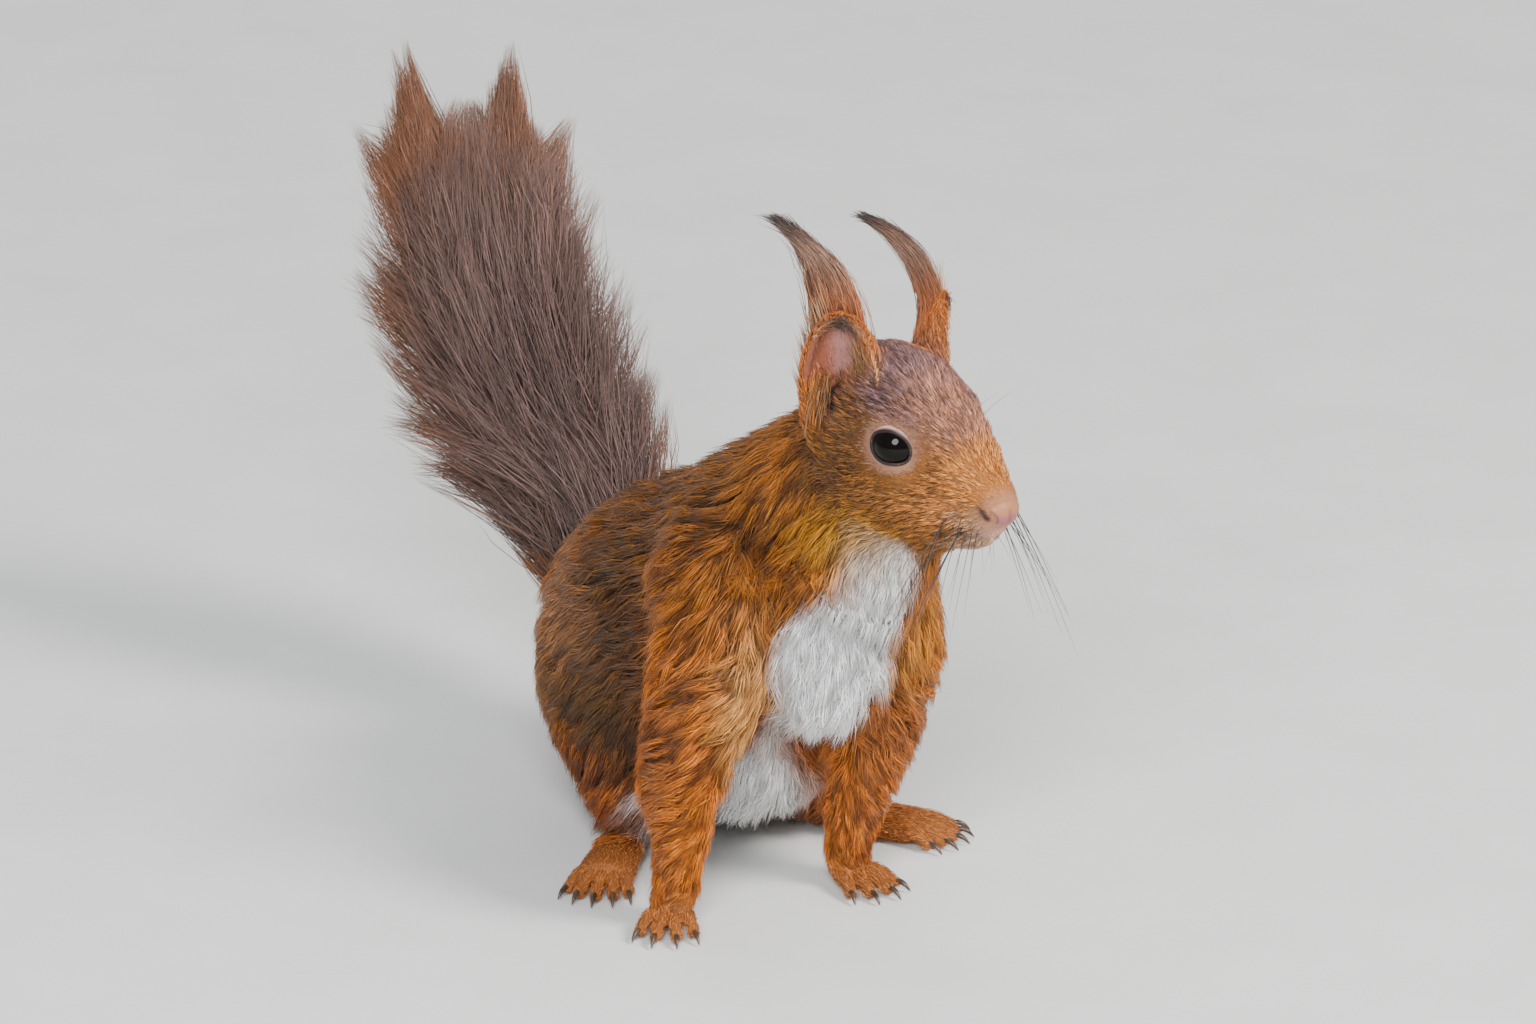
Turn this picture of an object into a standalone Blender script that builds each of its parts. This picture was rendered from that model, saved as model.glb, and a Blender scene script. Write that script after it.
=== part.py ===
"""A red squirrel propped on its forelegs, life size, modelled out to the tips of its coat.

The animal faces -Y with its left side at +X and the floor at z = 0. Its body is a set of
rounded masses and tapering tubes melted into one form. Thin cuts then part that form into the
head, neck, trunk, legs and the lengths of the tail. Feet, eyes, nose and ears are made apart.
"""

import math

import bmesh
import bpy
from mathutils import Matrix, Vector

MM = 0.001
GAP = 0.3 * MM
BIG = 0.5

# The head's own frame: nose tip at its origin, x to its left, y to its back, z up, in millimetres.
NOSE_TIP = (40.6, -91.5, 104.0)
HEAD_TURN = math.radians(22.0)

EYE_RADIUS = 5.2
EYE_PLACE = (8.5, 26.8, 9.3)
NOSE_PAD = (0.0, 4.0, -1.9)
NOSE_HALF = (3.9, 2.3, 2.9)

# Rounded masses: (centre, radii, turn about x in degrees).
HEAD_MASSES = {
    "cranium": ((0, 38, 8), (15.8, 17.5, 18.2), 0),
    "face": ((0, 23.8, 4), (11.9, 15.2, 13.6), 0),
    "forehead": ((0, 23.4, 10.1), (11.6, 13.6, 7.8), 32),
    "bridge": ((0, 14.2, 4.2), (8.4, 10.8, 6.1), 38),
    "nose_bridge": ((0, 7.0, 0.5), (5.4, 5.8, 4.4), 40),
    "muzzle": ((0, 10.8, -1.8), (5.8, 8.8, 6.6), 0),
    "jaw": ((0, 16, -8), (6.0, 10.2, 5.2), 0),
    "throat": ((0, 30, -8), (13.5, 15.0, 9.5), 0),
}
HEAD_SIDE_MASSES = {
    "cheek": ((9.0, 31, -2.5), (8.6, 14.5, 10.5), 0),
    "jowl": ((6.0, 21, -4.5), (6.0, 10.0, 7.5), 0),
    "pad": ((3.8, 10.2, -3.6), (4.2, 6.4, 4.2), 0),
    "brow": ((7.6, 28.5, 13.9), (4.6, 8.5, 4.3), 0),
}

# Tubes: (x, y, z, radius) along the middle of each.
TRUNK_WIDTH = 0.88
TRUNK = [
    (16, -49, 74, 14),
    (15.5, -40, 70, 21),
    (14, -26, 63, 27),
    (12, -9, 54.5, 33),
    (9, 10, 46, 35),
    (6, 30, 38, 32.5),
    (4, 46, 34, 26.5),
    (4, 58, 33, 18),
]
NECK = [
    (10, 0, 62, 23),
    (12.5, -20, 75.5, 22.5),
    (17, -33, 86, 21),
    (22, -43, 97, 18.5),
    (25, -51, 106, 15.5),
]
THROAT = [
    (31, -62, 97, 10),
    (24, -57, 89, 15),
    (18, -50, 77, 18),
]
FORELEG_RIGHT = [
    (0, -36, 72, 15.5),
    (-8, -42, 60, 14.5),
    (-14, -45, 46, 11.3),
    (-17.8, -46, 33, 8.9),
    (-17.8, -45, 19, 6.2),
    (-18.5, -43.5, 8, 5.0),
]
FORELEG_LEFT = [
    (27, -36, 73, 14.5),
    (31, -40, 58, 12.6),
    (30, -38, 44, 11.0),
    (28, -37, 32, 9.4),
    (26, -35, 18, 6.6),
    (24.6, -33.5, 8, 5.0),
]
FORELEGS = {"right": FORELEG_RIGHT, "left": FORELEG_LEFT}
BODY_MASSES = {
    "chest": ((15.5, -42, 64), (21, 19, 24), 0),
    "breast_tuft": ((12, -52, 52), (9, 8, 10), 0),
    "belly": ((10, 3, 27), (25, 33, 21), 0),
    "seat": ((5, 35, 17.6), (23, 22, 19), 0),
    "shoulder_right": ((-3, -30, 70), (16, 17, 19), 0),
    "shoulder_left": ((31, -28, 68), (15, 17, 19), 0),
    "thigh_right": ((-10.2, 19, 32), (15.0, 29, 25), 8),
    "thigh_left": ((30, 20, 32), (15.5, 30, 25), 8),
    "shin_right": ((-11, 9, 12), (10, 20, 9), 0),
    "shin_left": ((31, 6, 12), (10, 20, 9), 0),
}

# Where the body is parted: planes across the neck, the share of a foreleg above its elbow, the
# rounded region that holds an upper arm, and how far a thigh's cut stands out from the thigh.
NECK_TOP = (24.0, -49.0, 104.0)
NECK_FOOT = (17.0, -34.0, 87.0)
NECK_RISE = (0.29, -0.62, 0.73)
ELBOW = 0.6
SLEEVE_MIDDLE = 0.66
SLEEVE_HALF = (17.0, 17.0, 29.0)
THIGH_MARGIN = 1.3
FOREARM_MARGIN = 2.4

# The brush of the tail, flat from front to back: (x, y, z, half of its thickness).
TAIL_WIDTH = 1.9
TAIL = [
    (5, 56, 33, 8.5),
    (5, 68, 42, 8.5),
    (4, 79, 53, 11.5),
    (-2, 88, 64, 17),
    (-7, 97, 82, 18),
    (-11, 103, 102, 17),
    (-12, 107, 121, 13.5),
    (-12, 110, 138, 6),
]
# Locks that stand out of the brush: (root along the tail, from 0 to 1; root and tip across it;
# tip along it; root radius).
TAIL_LOCKS = [
    (0.76, -16, -15, 1.17, 8.5),
    (0.80, 4, 12, 1.13, 9.0),
    (0.74, 15, 25, 0.96, 8.0),
    (0.70, -18, -28, 0.99, 8.0),
    (0.52, -22, -38, 0.74, 8.0),
    (0.36, -18, -42, 0.50, 8.0),
    (0.38, 20, 35, 0.58, 8.0),
    (0.15, 12, 26, 0.36, 9.0),
    (0.22, -13, -35, 0.40, 8.5),
]
TAIL_JOINTS = (0.16, 0.46, 0.74)
# How far a lock that runs past the end of the brush rises for a whole length of tail.
TAIL_RISE = 112

# Feet: heel and toe tip on the floor, width, height at the heel, number of toes.
FEET = {
    "forefoot_right": ((-17.4, -39.0), (-24.8, -55.0), 10.0, 8.5, 4),
    "forefoot_left": ((23.8, -29.0), (28.0, -46.0), 10.0, 8.5, 4),
    "hindfoot_right": ((-5.0, 15.0), (-31.0, -27.0), 12.5, 9.5, 5),
    "hindfoot_left": ((21.0, 11.0), (54.5, -20.5), 12.5, 9.5, 5),
}

# The sole: (share of its length, lift, half width as a share of the width), and its thickness as a
# share of its width.
SOLE = [(0.14, 3.6, 0.34), (0.55, 3.4, 0.40), (0.85, 2.8, 0.50), (1.0, 2.4, 0.52)]
SOLE_FLAT = 0.62
# A toe: (share of its length, lift, radius). Toes start inside the sole, fan out, and the outer
# ones end short of the middle ones.
TOE = [(0.0, 2.2, 1.7), (0.5, 2.8, 1.6), (1.0, 1.5, 1.5)]
TOE_LENGTH = 9.0
TOE_SET_IN = 1.5
TOE_SPREAD = 0.34
TOE_SPLAY = 0.36
TOE_ARC = 2.6
# A claw: (length past the toe, lift, radius).
CLAW = [(0.0, 1.7, 0.9), (2.2, 1.7, 0.6), (3.4, 0.6, 0.32)]

# Ears, in the head's frame. Each has its middle and the line across it, and the tuft that rises
# from its back: (across, through, up, half of its breadth), with its thickness as a share of that.
EAR_HALF = (8.4, 5.8, 17.0)
EAR_WALL = 1.7
EAR_MOUTH = 0.8 * MM
EARS = {
    "right": {
        "middle": (13.2, 40.0, 18.0),
        "across": (0.55, 0.835),
        "flat": 0.34,
        "tuft": [
            (0.8, -3.6, 3, 6.2),
            (1.6, -3.8, 14, 6.3),
            (4.3, -3.6, 25, 4.9),
            (9.4, -3.4, 32, 2.6),
            (16.0, -4.0, 37, 0.7),
        ],
    },
    "left": {
        "middle": (14.6, 38.6, 16.8),
        "across": (0.7, 0.71),
        "flat": 0.6,
        "tuft": [
            (0.0, -2.6, 5, 4.6),
            (0.5, -2.6, 15, 4.4),
            (1.5, -4.4, 21, 4.5),
            (3.5, -7.6, 26, 4.2),
            (6.0, -13.0, 30, 2.6),
            (8.0, -18.0, 32, 0.7),
        ],
    },
}
SIDES = {"left": 1, "right": -1}

# How many triangles each melted form is thinned to.
PLAIN_FACES = 1640
FINE_FACES = 4800
FOOT_FACES = 230
TAIL_FACES = 700

COLOURS = {
    "rust": ((0.30, 0.095, 0.022), 0.75),
    "crown": ((0.21, 0.11, 0.075), 0.75),
    "foot": ((0.36, 0.12, 0.03), 0.6),
    "brush": ((0.085, 0.045, 0.042), 0.8),
    "tuft": ((0.16, 0.09, 0.065), 0.8),
    "eye": ((0.006, 0.005, 0.005), 0.05),
    "nose": ((0.36, 0.19, 0.16), 0.45),
}


def clear_scene():
    """Empties the scene without closing the file."""
    for obj in list(bpy.data.objects):
        bpy.data.objects.remove(obj, do_unlink=True)


def new_collection(name):
    """A collection of its own for the parts, the guides or the cutters."""
    made = bpy.data.collections.new(name)
    bpy.context.scene.collection.children.link(made)
    return made


def material(name):
    """A Principled material with the part's colour and roughness."""
    found = bpy.data.materials.get(name)
    if found:
        return found
    made = bpy.data.materials.new(name)
    made.use_nodes = True
    colour, roughness = COLOURS[name]
    shader = made.node_tree.nodes["Principled BSDF"]
    shader.inputs["Base Color"].default_value = (*colour, 1.0)
    shader.inputs["Roughness"].default_value = roughness
    shader.inputs["Metallic"].default_value = 0.0
    return made


def new_object(name, mesh):
    """Links a mesh as a helper, which stays out of the model until it is shown."""
    obj = bpy.data.objects.new(name, mesh)
    HELPERS.objects.link(obj)
    obj.hide_render = True
    obj.display_type = "WIRE"
    return obj


def evaluated_copy(obj, name):
    """A new mesh object with the shape that an object has after its modifiers, in world space."""
    bpy.context.view_layer.update()
    graph = bpy.context.evaluated_depsgraph_get()
    mesh = bpy.data.meshes.new_from_object(obj.evaluated_get(graph))
    mesh.transform(obj.matrix_world)
    return new_object(name, mesh)


def drop(*objects):
    """Removes helpers that have done their work."""
    for obj in objects:
        bpy.data.objects.remove(obj, do_unlink=True)


def tilted(centre, radii, turn):
    """The matrix that makes a unit ball an ellipsoid: radii, a turn about x, and a place."""
    return (
        Matrix.Translation(Vector(centre) * MM)
        @ Matrix.Rotation(math.radians(turn), 4, "X")
        @ Matrix.Diagonal((*(Vector(radii) * MM), 1.0))
    )


def ball(name, centre, radii, turn=0.0, frame=None, segments=32, rings=20):
    """An ellipsoid in the world, or in a frame of its own."""
    mesh = bpy.data.meshes.new(name)
    shape = bmesh.new()
    matrix = (frame or Matrix()) @ tilted(centre, radii, turn)
    bmesh.ops.create_uvsphere(shape, u_segments=segments, v_segments=rings, radius=1.0)
    bmesh.ops.transform(shape, matrix=matrix, verts=shape.verts)
    bmesh.ops.recalc_face_normals(shape, faces=shape.faces)
    shape.to_mesh(mesh)
    shape.free()
    return new_object(name, mesh)


def along(stations, t):
    """A point and a radius on the smooth line through stations, with t from 0 to 1."""
    spans = len(stations) - 1
    place = min(max(t, 0.0), 1.0) * spans
    first = min(int(place), spans - 1)
    f = place - first
    before, a, b, after = (
        Vector(stations[min(max(first + step, 0), spans)]) for step in (-1, 0, 1, 2)
    )
    slope_a = (b - before) * 0.5
    slope_b = (after - a) * 0.5
    return (
        a * (2 * f**3 - 3 * f**2 + 1)
        + slope_a * (f**3 - 2 * f**2 + f)
        + b * (3 * f**2 - 2 * f**3)
        + slope_b * (f**3 - f**2)
    )


def tube(name, stations, widen=(1.0, 1.0, 1.0), frame=None, steps=24, sides=5):
    """A tapering tube through (x, y, z, radius) stations, stretched by widen about its own line."""
    curve = bpy.data.curves.new(name, "CURVE")
    curve.dimensions = "3D"
    curve.bevel_depth = 1.0
    curve.bevel_resolution = sides
    curve.use_fill_caps = True
    spline = curve.splines.new("POLY")
    spline.points.add(steps)
    for i, point in enumerate(spline.points):
        x, y, z, radius = along(stations, i / steps)
        point.co = (x * MM / widen[0], y * MM / widen[1], z * MM / widen[2], 1.0)
        point.radius = radius * MM
    guide = new_object(name + "_line", curve)
    guide.matrix_world = (frame or Matrix()) @ Matrix.Diagonal((*widen, 1.0))
    made = evaluated_copy(guide, name)
    drop(guide)
    shape = bmesh.new()
    shape.from_mesh(made.data)
    bmesh.ops.remove_doubles(shape, verts=shape.verts, dist=0.00001)
    bmesh.ops.recalc_face_normals(shape, faces=shape.faces)
    shape.to_mesh(made.data)
    shape.free()
    return made


def melt(name, shapes, voxel, rounds, faces):
    """Melts overlapping shapes into one smooth closed form with about that many triangles."""
    merged = bmesh.new()
    for shape in shapes:
        merged.from_mesh(shape.data)
    mesh = bpy.data.meshes.new(name)
    merged.to_mesh(mesh)
    merged.free()
    drop(*shapes)
    rough = new_object(name + "_rough", mesh)
    remesh = rough.modifiers.new("melt", "REMESH")
    remesh.mode = "VOXEL"
    remesh.voxel_size = voxel * MM
    smooth = rough.modifiers.new("smooth", "SMOOTH")
    smooth.factor = 0.5
    smooth.iterations = rounds
    fine = evaluated_copy(rough, name + "_fine")
    drop(rough)
    thin = fine.modifiers.new("thin", "DECIMATE")
    thin.use_collapse_triangulate = True
    thin.ratio = faces / (2.0 * len(fine.data.polygons))
    made = evaluated_copy(fine, name)
    drop(fine)
    return made


def combine(name, base, tool, operation):
    """A new object: base joined with, cut by or kept inside tool."""
    cut = base.modifiers.new("cut", "BOOLEAN")
    cut.operation = operation
    cut.solver = "EXACT"
    cut.object = tool
    made = evaluated_copy(base, name)
    base.modifiers.remove(cut)
    tidy(made.data)
    return made


def tidy(mesh):
    """Merges points closer than the solids can hold and leaves triangles."""
    shape = bmesh.new()
    shape.from_mesh(mesh)
    bmesh.ops.remove_doubles(shape, verts=shape.verts, dist=0.000004)
    bmesh.ops.dissolve_degenerate(shape, dist=0.000004, edges=shape.edges)
    bmesh.ops.triangulate(shape, faces=shape.faces)
    shape.to_mesh(mesh)
    shape.free()


def grown(obj, amount=GAP):
    """A copy of a solid whose surface stands out by the gap."""
    displace = obj.modifiers.new("grow", "DISPLACE")
    displace.strength = amount
    displace.mid_level = 0.0
    made = evaluated_copy(obj, obj.name + "_grown")
    obj.modifiers.remove(displace)
    return made


def box(name, centre, size, direction=None):
    """A cutting box, its own z along direction."""
    mesh = bpy.data.meshes.new(name)
    shape = bmesh.new()
    bmesh.ops.create_cube(shape, size=1.0)
    turn = Vector(direction or (0, 0, 1)).to_track_quat("Z", "Y").to_matrix().to_4x4()
    matrix = (
        Matrix.Translation(Vector(centre) * MM)
        @ turn
        @ Matrix.Diagonal((*(Vector(size) * MM), 1.0))
    )
    bmesh.ops.transform(shape, matrix=matrix, verts=shape.verts)
    shape.to_mesh(mesh)
    shape.free()
    return new_object(name, mesh)


def half_box(name, point, direction, size):
    """A box of the given width, depth and height that starts at a plane and runs along direction."""
    middle = Vector(point) + Vector(direction).normalized() * (size[2] / 2)
    return box(name, middle, size, direction)


def show(obj, name, finish):
    """Makes a helper a named part of the model, with its material."""
    HELPERS.objects.unlink(obj)
    MODEL.objects.link(obj)
    obj.hide_render = False
    obj.display_type = "TEXTURED"
    obj.name = name
    obj.data.name = name
    obj.data.materials.clear()
    obj.data.materials.append(material(finish))
    obj.data.shade_smooth()
    obj.data.set_sharp_from_angle(angle=math.radians(50))
    return obj


def loose_bodies(shape):
    """The vertices of each loose piece of a form."""
    seen = set()
    bodies = []
    for start in shape.verts:
        if start in seen:
            continue
        body, stack = [], [start]
        seen.add(start)
        while stack:
            vertex = stack.pop()
            body.append(vertex)
            for edge in vertex.link_edges:
                other = edge.other_vert(vertex)
                if other not in seen:
                    seen.add(other)
                    stack.append(other)
        bodies.append(body)
    return bodies


def keep_body(obj, by_height=False):
    """Keeps the biggest, or the highest, of the loose pieces that a cut may leave."""
    shape = bmesh.new()
    shape.from_mesh(obj.data)
    bodies = loose_bodies(shape)
    bodies.sort(key=(lambda body: max(v.co.z for v in body)) if by_height else len)
    for body in bodies[:-1]:
        bmesh.ops.delete(shape, geom=body, context="VERTS")
    shape.to_mesh(obj.data)
    shape.free()


def hollow(rest, tool):
    """Cuts a solid out of the rest, with the gap round it."""
    wider = grown(tool)
    left = combine(rest.name, rest, wider, "DIFFERENCE")
    drop(rest, wider)
    return left


def split(rest, name, region, finish, source=None):
    """Parts what lies inside region as a named node and leaves the gap between it and the rest.

    The node is cut from source, a finer melt of the same form, where one is given.
    """
    piece = combine(name + "_cut", source or rest, region, "INTERSECT")
    left = hollow(rest, region)
    keep_body(piece)
    keep_body(left)
    drop(region)
    show(piece, name, finish)
    return left


def head_frame():
    """The head's frame in the world."""
    return Matrix.Translation(Vector(NOSE_TIP) * MM) @ Matrix.Rotation(HEAD_TURN, 4, "Z")


def mirrored(place, side):
    """A place on the animal's left, or the matching one on its right."""
    return (place[0] * side, *place[1:])


def body_shapes():
    """Every mass and tube of the flesh, from the muzzle to the wrists and the root of the tail."""
    frame = head_frame()
    shapes = [ball(n, c, r, t, frame) for n, (c, r, t) in HEAD_MASSES.items()]
    for name, (centre, radii, turn) in HEAD_SIDE_MASSES.items():
        for side in (1, -1):
            shapes.append(ball(name, mirrored(centre, side), radii, turn, frame))
    shapes += [ball(n, c, r, t) for n, (c, r, t) in BODY_MASSES.items()]
    shapes.append(tube("trunk", TRUNK, widen=(TRUNK_WIDTH, 1.0, 1.0)))
    for name, stations in (
        ("neck", NECK),
        ("throat", THROAT),
        ("foreleg_right", FORELEG_RIGHT),
        ("foreleg_left", FORELEG_LEFT),
    ):
        shapes.append(tube(name, stations))
    return shapes


def foot(name, heel, toe, width, height, toes):
    """A foot flat on the floor: a sole that widens from the heel, and toes that end in claws."""
    heel, toe = Vector((*heel, 0.0)), Vector((*toe, 0.0))
    ahead = (toe - heel).normalized()
    across = Vector((-ahead.y, ahead.x, 0.0))
    ball_of_foot = (toe - heel).length - TOE_LENGTH
    ankle = heel + ahead * (height * 0.5)
    shapes = [ball(name + "_ankle", (*ankle.xy, height * 0.5), (height * 0.55,) * 3)]
    sole = [
        (*(heel + ahead * (ball_of_foot * share)).xy, lift, width * half)
        for share, lift, half in SOLE
    ]
    shapes.append(tube(name + "_sole", sole, widen=(1.0, 1.0, SOLE_FLAT)))
    for i in range(toes):
        spread = 2 * i / (toes - 1) - 1
        root = heel + ahead * (ball_of_foot - TOE_SET_IN) + across * (spread * width * TOE_SPREAD)
        turned = (ahead + across * spread * TOE_SPLAY).normalized()
        reach = TOE_LENGTH + TOE_SET_IN - TOE_ARC * spread**2
        toe_line = [
            (*(root + turned * (reach * share)).xy, lift, radius) for share, lift, radius in TOE
        ]
        shapes.append(tube(f"{name}_toe{i}", toe_line, steps=8))
        tip = root + turned * reach
        claw_line = [(*(tip + turned * along_it).xy, lift, radius) for along_it, lift, radius in CLAW]
        shapes.append(tube(f"{name}_claw{i}", claw_line, steps=6))
    return shapes


def ear_frame(word):
    """Across, through and up axes of an ear, with its middle, in the world."""
    side = SIDES[word]
    lateral, back = Vector(EARS[word]["across"]).normalized()
    local = Matrix(
        ((lateral * side, back, 0), (back * side, -lateral, 0), (0, 0, 1))
    ).transposed().to_4x4()
    local.translation = Vector(mirrored(EARS[word]["middle"], side)) * MM
    return head_frame() @ local


def ear(word):
    """The cup of an ear: the back half of a ball, with a wall, open forwards and outwards."""
    mesh = bpy.data.meshes.new("ear")
    shape = bmesh.new()
    bmesh.ops.create_uvsphere(shape, u_segments=12, v_segments=8, radius=1.0)
    bmesh.ops.transform(
        shape, matrix=Matrix.Diagonal((*(Vector(EAR_HALF) * MM), 1.0)), verts=shape.verts
    )
    bmesh.ops.bisect_plane(
        shape,
        geom=shape.verts[:] + shape.edges[:] + shape.faces[:],
        plane_co=(0, EAR_MOUTH, 0),
        plane_no=(0, 1, 0),
        clear_outer=True,
    )
    bmesh.ops.transform(shape, matrix=ear_frame(word), verts=shape.verts)
    bmesh.ops.recalc_face_normals(shape, faces=shape.faces)
    shape.to_mesh(mesh)
    shape.free()
    shell = new_object("ear_shell", mesh)
    wall = shell.modifiers.new("wall", "SOLIDIFY")
    wall.thickness = EAR_WALL * MM
    wall.offset = 0.0
    made = evaluated_copy(shell, "ear")
    drop(shell)
    return made


def fit_eyes_and_nose(rest):
    """Sets the eyes and the nose pad into the head, with the gap round each."""
    frame = head_frame()
    for word, side in SIDES.items():
        centre = mirrored(EYE_PLACE, side)
        eye = ball("eye", centre, (EYE_RADIUS,) * 3, 0, frame, 12, 8)
        rest = hollow(rest, eye)
        show(eye, "eye_" + word, "eye")
    nose = ball("nose", NOSE_PAD, NOSE_HALF, 0, frame, 12, 7)
    rest = hollow(rest, nose)
    show(nose, "nose", "nose")
    return rest


def fit_ears(head):
    """Stands the ears on the head, and their tufts on the ears."""
    outer = grown(head)
    for word, sizes in EARS.items():
        whole = ear(word)
        cup = combine("ear_cut", whole, outer, "DIFFERENCE")
        keep_body(cup)
        blade = tube(
            "tuft",
            sizes["tuft"],
            widen=(1.0, sizes["flat"], 1.0),
            frame=ear_frame(word),
            steps=7,
            sides=1,
        )
        free = combine("tuft_free", blade, outer, "DIFFERENCE")
        tuft = hollow(free, cup)
        keep_body(tuft, by_height=True)
        drop(whole, blade)
        show(cup, "ear_" + word, "rust")
        show(tuft, "ear_tuft_" + word, "tuft")
    drop(outer)


def build_tail():
    """The brush, parted across its line into lengths."""
    shapes = [tube("brush", TAIL, widen=(TAIL_WIDTH, 1.0, 1.0), steps=30)]
    for root, across, tip_across, tip, radius in TAIL_LOCKS:
        stations = []
        for f in (0.0, 0.5, 1.0):
            t = root + (tip - root) * f
            over = max(t - 1.0, 0.0)
            x, y, z, _ = along(TAIL, t)
            lean = across + (tip_across - across) * f**1.3
            size = radius * (1.0 - f) + 1.0 * f
            stations.append((x + lean, y, z + over * TAIL_RISE, size))
        shapes.append(tube("lock", stations, widen=(1.0, 1.15, 1.0), steps=10))
    return melt("tail_whole", shapes, 1.6, 10, TAIL_FACES)


def part_tail(whole):
    """Cuts the brush at its joints and names its lengths from the root to the tip."""
    names = ("tail_root", "tail_lower", "tail_upper", "tail_tip")
    rest = whole
    for name, t in zip(names, TAIL_JOINTS):
        here = along(TAIL, t).xyz
        ahead = (along(TAIL, t + 0.02) - along(TAIL, t - 0.02)).xyz.normalized()
        region = half_box("region", here, -ahead, (160, 90, 120))
        rest = split(rest, name, region, "brush")
    show(rest, names[-1], "brush")


def part_body(rest, fine):
    """Cuts the melted form at the neck, the shoulders, the elbows and the hips."""
    region = half_box("region", NECK_TOP, NECK_RISE, (70, 78, 90))
    rest = split(rest, "head", region, "crown", source=fine)
    region = half_box("region", NECK_FOOT, NECK_RISE, (74, 62, 60))
    rest = split(rest, "neck", region, "rust")
    for word, stations in FORELEGS.items():
        lower = [along(stations, ELBOW + (1.0 - ELBOW) * i / 4) for i in range(5)]
        region = tube(
            "region",
            [(*here.xyz, here.w + FOREARM_MARGIN) for here in lower]
            + [(*lower[-1].xy, -lower[-1].z, lower[-1].w + FOREARM_MARGIN)],
        )
        rest = split(rest, "forearm_" + word, region, "rust", source=fine)
        middle = along(stations, ELBOW * SLEEVE_MIDDLE).xyz
        line = (along(stations, 0.0) - along(stations, ELBOW)).xyz
        frame = Matrix.Translation(middle * MM) @ line.to_track_quat("Z", "Y").to_matrix().to_4x4()
        region = ball("region", (0, 0, 0), SLEEVE_HALF, 0, frame, 12, 8)
        rest = split(rest, "upper_arm_" + word, region, "rust")
    for word, side in SIDES.items():
        centre, radii, turn = BODY_MASSES["thigh_" + word]
        region = ball(
            "region",
            (centre[0] + 4 * side, centre[1], centre[2] + 1),
            [size + THIGH_MARGIN for size in radii],
            turn,
            segments=12,
            rings=8,
        )
        rest = split(rest, "thigh_" + word, region, "rust")
    show(rest, "trunk", "rust")


def centre_on_origin():
    """Moves the whole model so that its box stands centred over the origin."""
    corners = [v.co for obj in MODEL.objects for v in obj.data.vertices]
    middle = [(min(c[i] for c in corners) + max(c[i] for c in corners)) / 2 for i in (0, 1)]
    lowest = min(c.z for c in corners)
    for obj in MODEL.objects:
        obj.data.transform(Matrix.Translation((-middle[0], -middle[1], -lowest)))
        obj.data.update()


def main():
    """Builds the animal: the melted flesh, then all that is fitted to it, then the cuts."""
    plain = melt("body", body_shapes(), 1.1, 15, PLAIN_FACES)
    fine = melt("body_fine", body_shapes(), 1.1, 15, FINE_FACES)
    floor = box("floor", (0, 0, -BIG / MM / 4), (BIG / MM, BIG / MM, BIG / MM / 2))
    body = combine("body", plain, floor, "DIFFERENCE")
    drop(plain)
    for name, sizes in FEET.items():
        rough = melt(name, foot(name, *sizes), 0.55, 3, FOOT_FACES)
        sole = combine(name + "_flat", rough, floor, "DIFFERENCE")
        keep_body(sole)
        drop(rough)
        body = hollow(body, sole)
        fine = hollow(fine, sole)
        show(sole, name, "foot")
    brush = hollow(build_tail(), body)
    keep_body(brush)
    part_tail(brush)
    fine = fit_eyes_and_nose(fine)
    part_body(body, fine)
    fit_ears(bpy.data.objects["head"])
    drop(floor, fine)
    centre_on_origin()


clear_scene()
MODEL = new_collection("red_squirrel")
HELPERS = new_collection("helpers")
main()
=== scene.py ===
"""A red squirrel propped on its forelegs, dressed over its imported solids.

The solids reach to the tips of the coat. One skin is drawn in from them by the coat's depth, with its
lids, ear cups and mouth. Tufts of solid mesh grow from the skin and lie back along the body, long
locks make the brush and the ear tufts, and the eyes, nose, claws and whiskers are pieces of their own.

Lengths are in millimetres in the animal's own frame: it faces -Y, its left side is at +X, and the
floor is z = 0. Anatomy turns them into the world's metres.
"""

from __future__ import annotations

import logging
import math
from collections.abc import Sequence
from dataclasses import dataclass, field
from enum import Enum
from functools import cached_property

import bmesh
import bpy
import numpy as np
from bpy.types import Material, Mesh, Node, NodeSocket, NodeTree, Object
from mathutils import Matrix, Vector
from mathutils.bvhtree import BVHTree
from mathutils.kdtree import KDTree
from numpy.random import Generator


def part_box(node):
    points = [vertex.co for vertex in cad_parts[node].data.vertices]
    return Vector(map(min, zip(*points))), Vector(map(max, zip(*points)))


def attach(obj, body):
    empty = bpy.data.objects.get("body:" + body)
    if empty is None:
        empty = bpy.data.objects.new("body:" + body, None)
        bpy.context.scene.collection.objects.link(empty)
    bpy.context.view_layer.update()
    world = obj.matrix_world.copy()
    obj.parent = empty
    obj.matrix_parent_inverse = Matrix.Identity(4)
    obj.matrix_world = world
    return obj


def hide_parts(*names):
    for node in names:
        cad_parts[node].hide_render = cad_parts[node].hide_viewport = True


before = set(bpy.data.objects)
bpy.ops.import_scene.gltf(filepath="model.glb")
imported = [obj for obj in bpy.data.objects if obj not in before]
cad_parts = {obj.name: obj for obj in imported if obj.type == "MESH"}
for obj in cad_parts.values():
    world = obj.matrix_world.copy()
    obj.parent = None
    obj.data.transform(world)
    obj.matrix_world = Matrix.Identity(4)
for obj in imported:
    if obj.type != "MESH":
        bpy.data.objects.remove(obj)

LOG = logging.getLogger("red_squirrel")
MM = 0.001
BODY = "root"
COAT_MAP = "OFBake"
COLOUR = "coat_colour"
TAIL_NODES = ("tail_root", "tail_lower", "tail_upper", "tail_tip")
# The least height of a hair over the floor, in millimetres.
LOWEST_HAIR = 0.15

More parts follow.
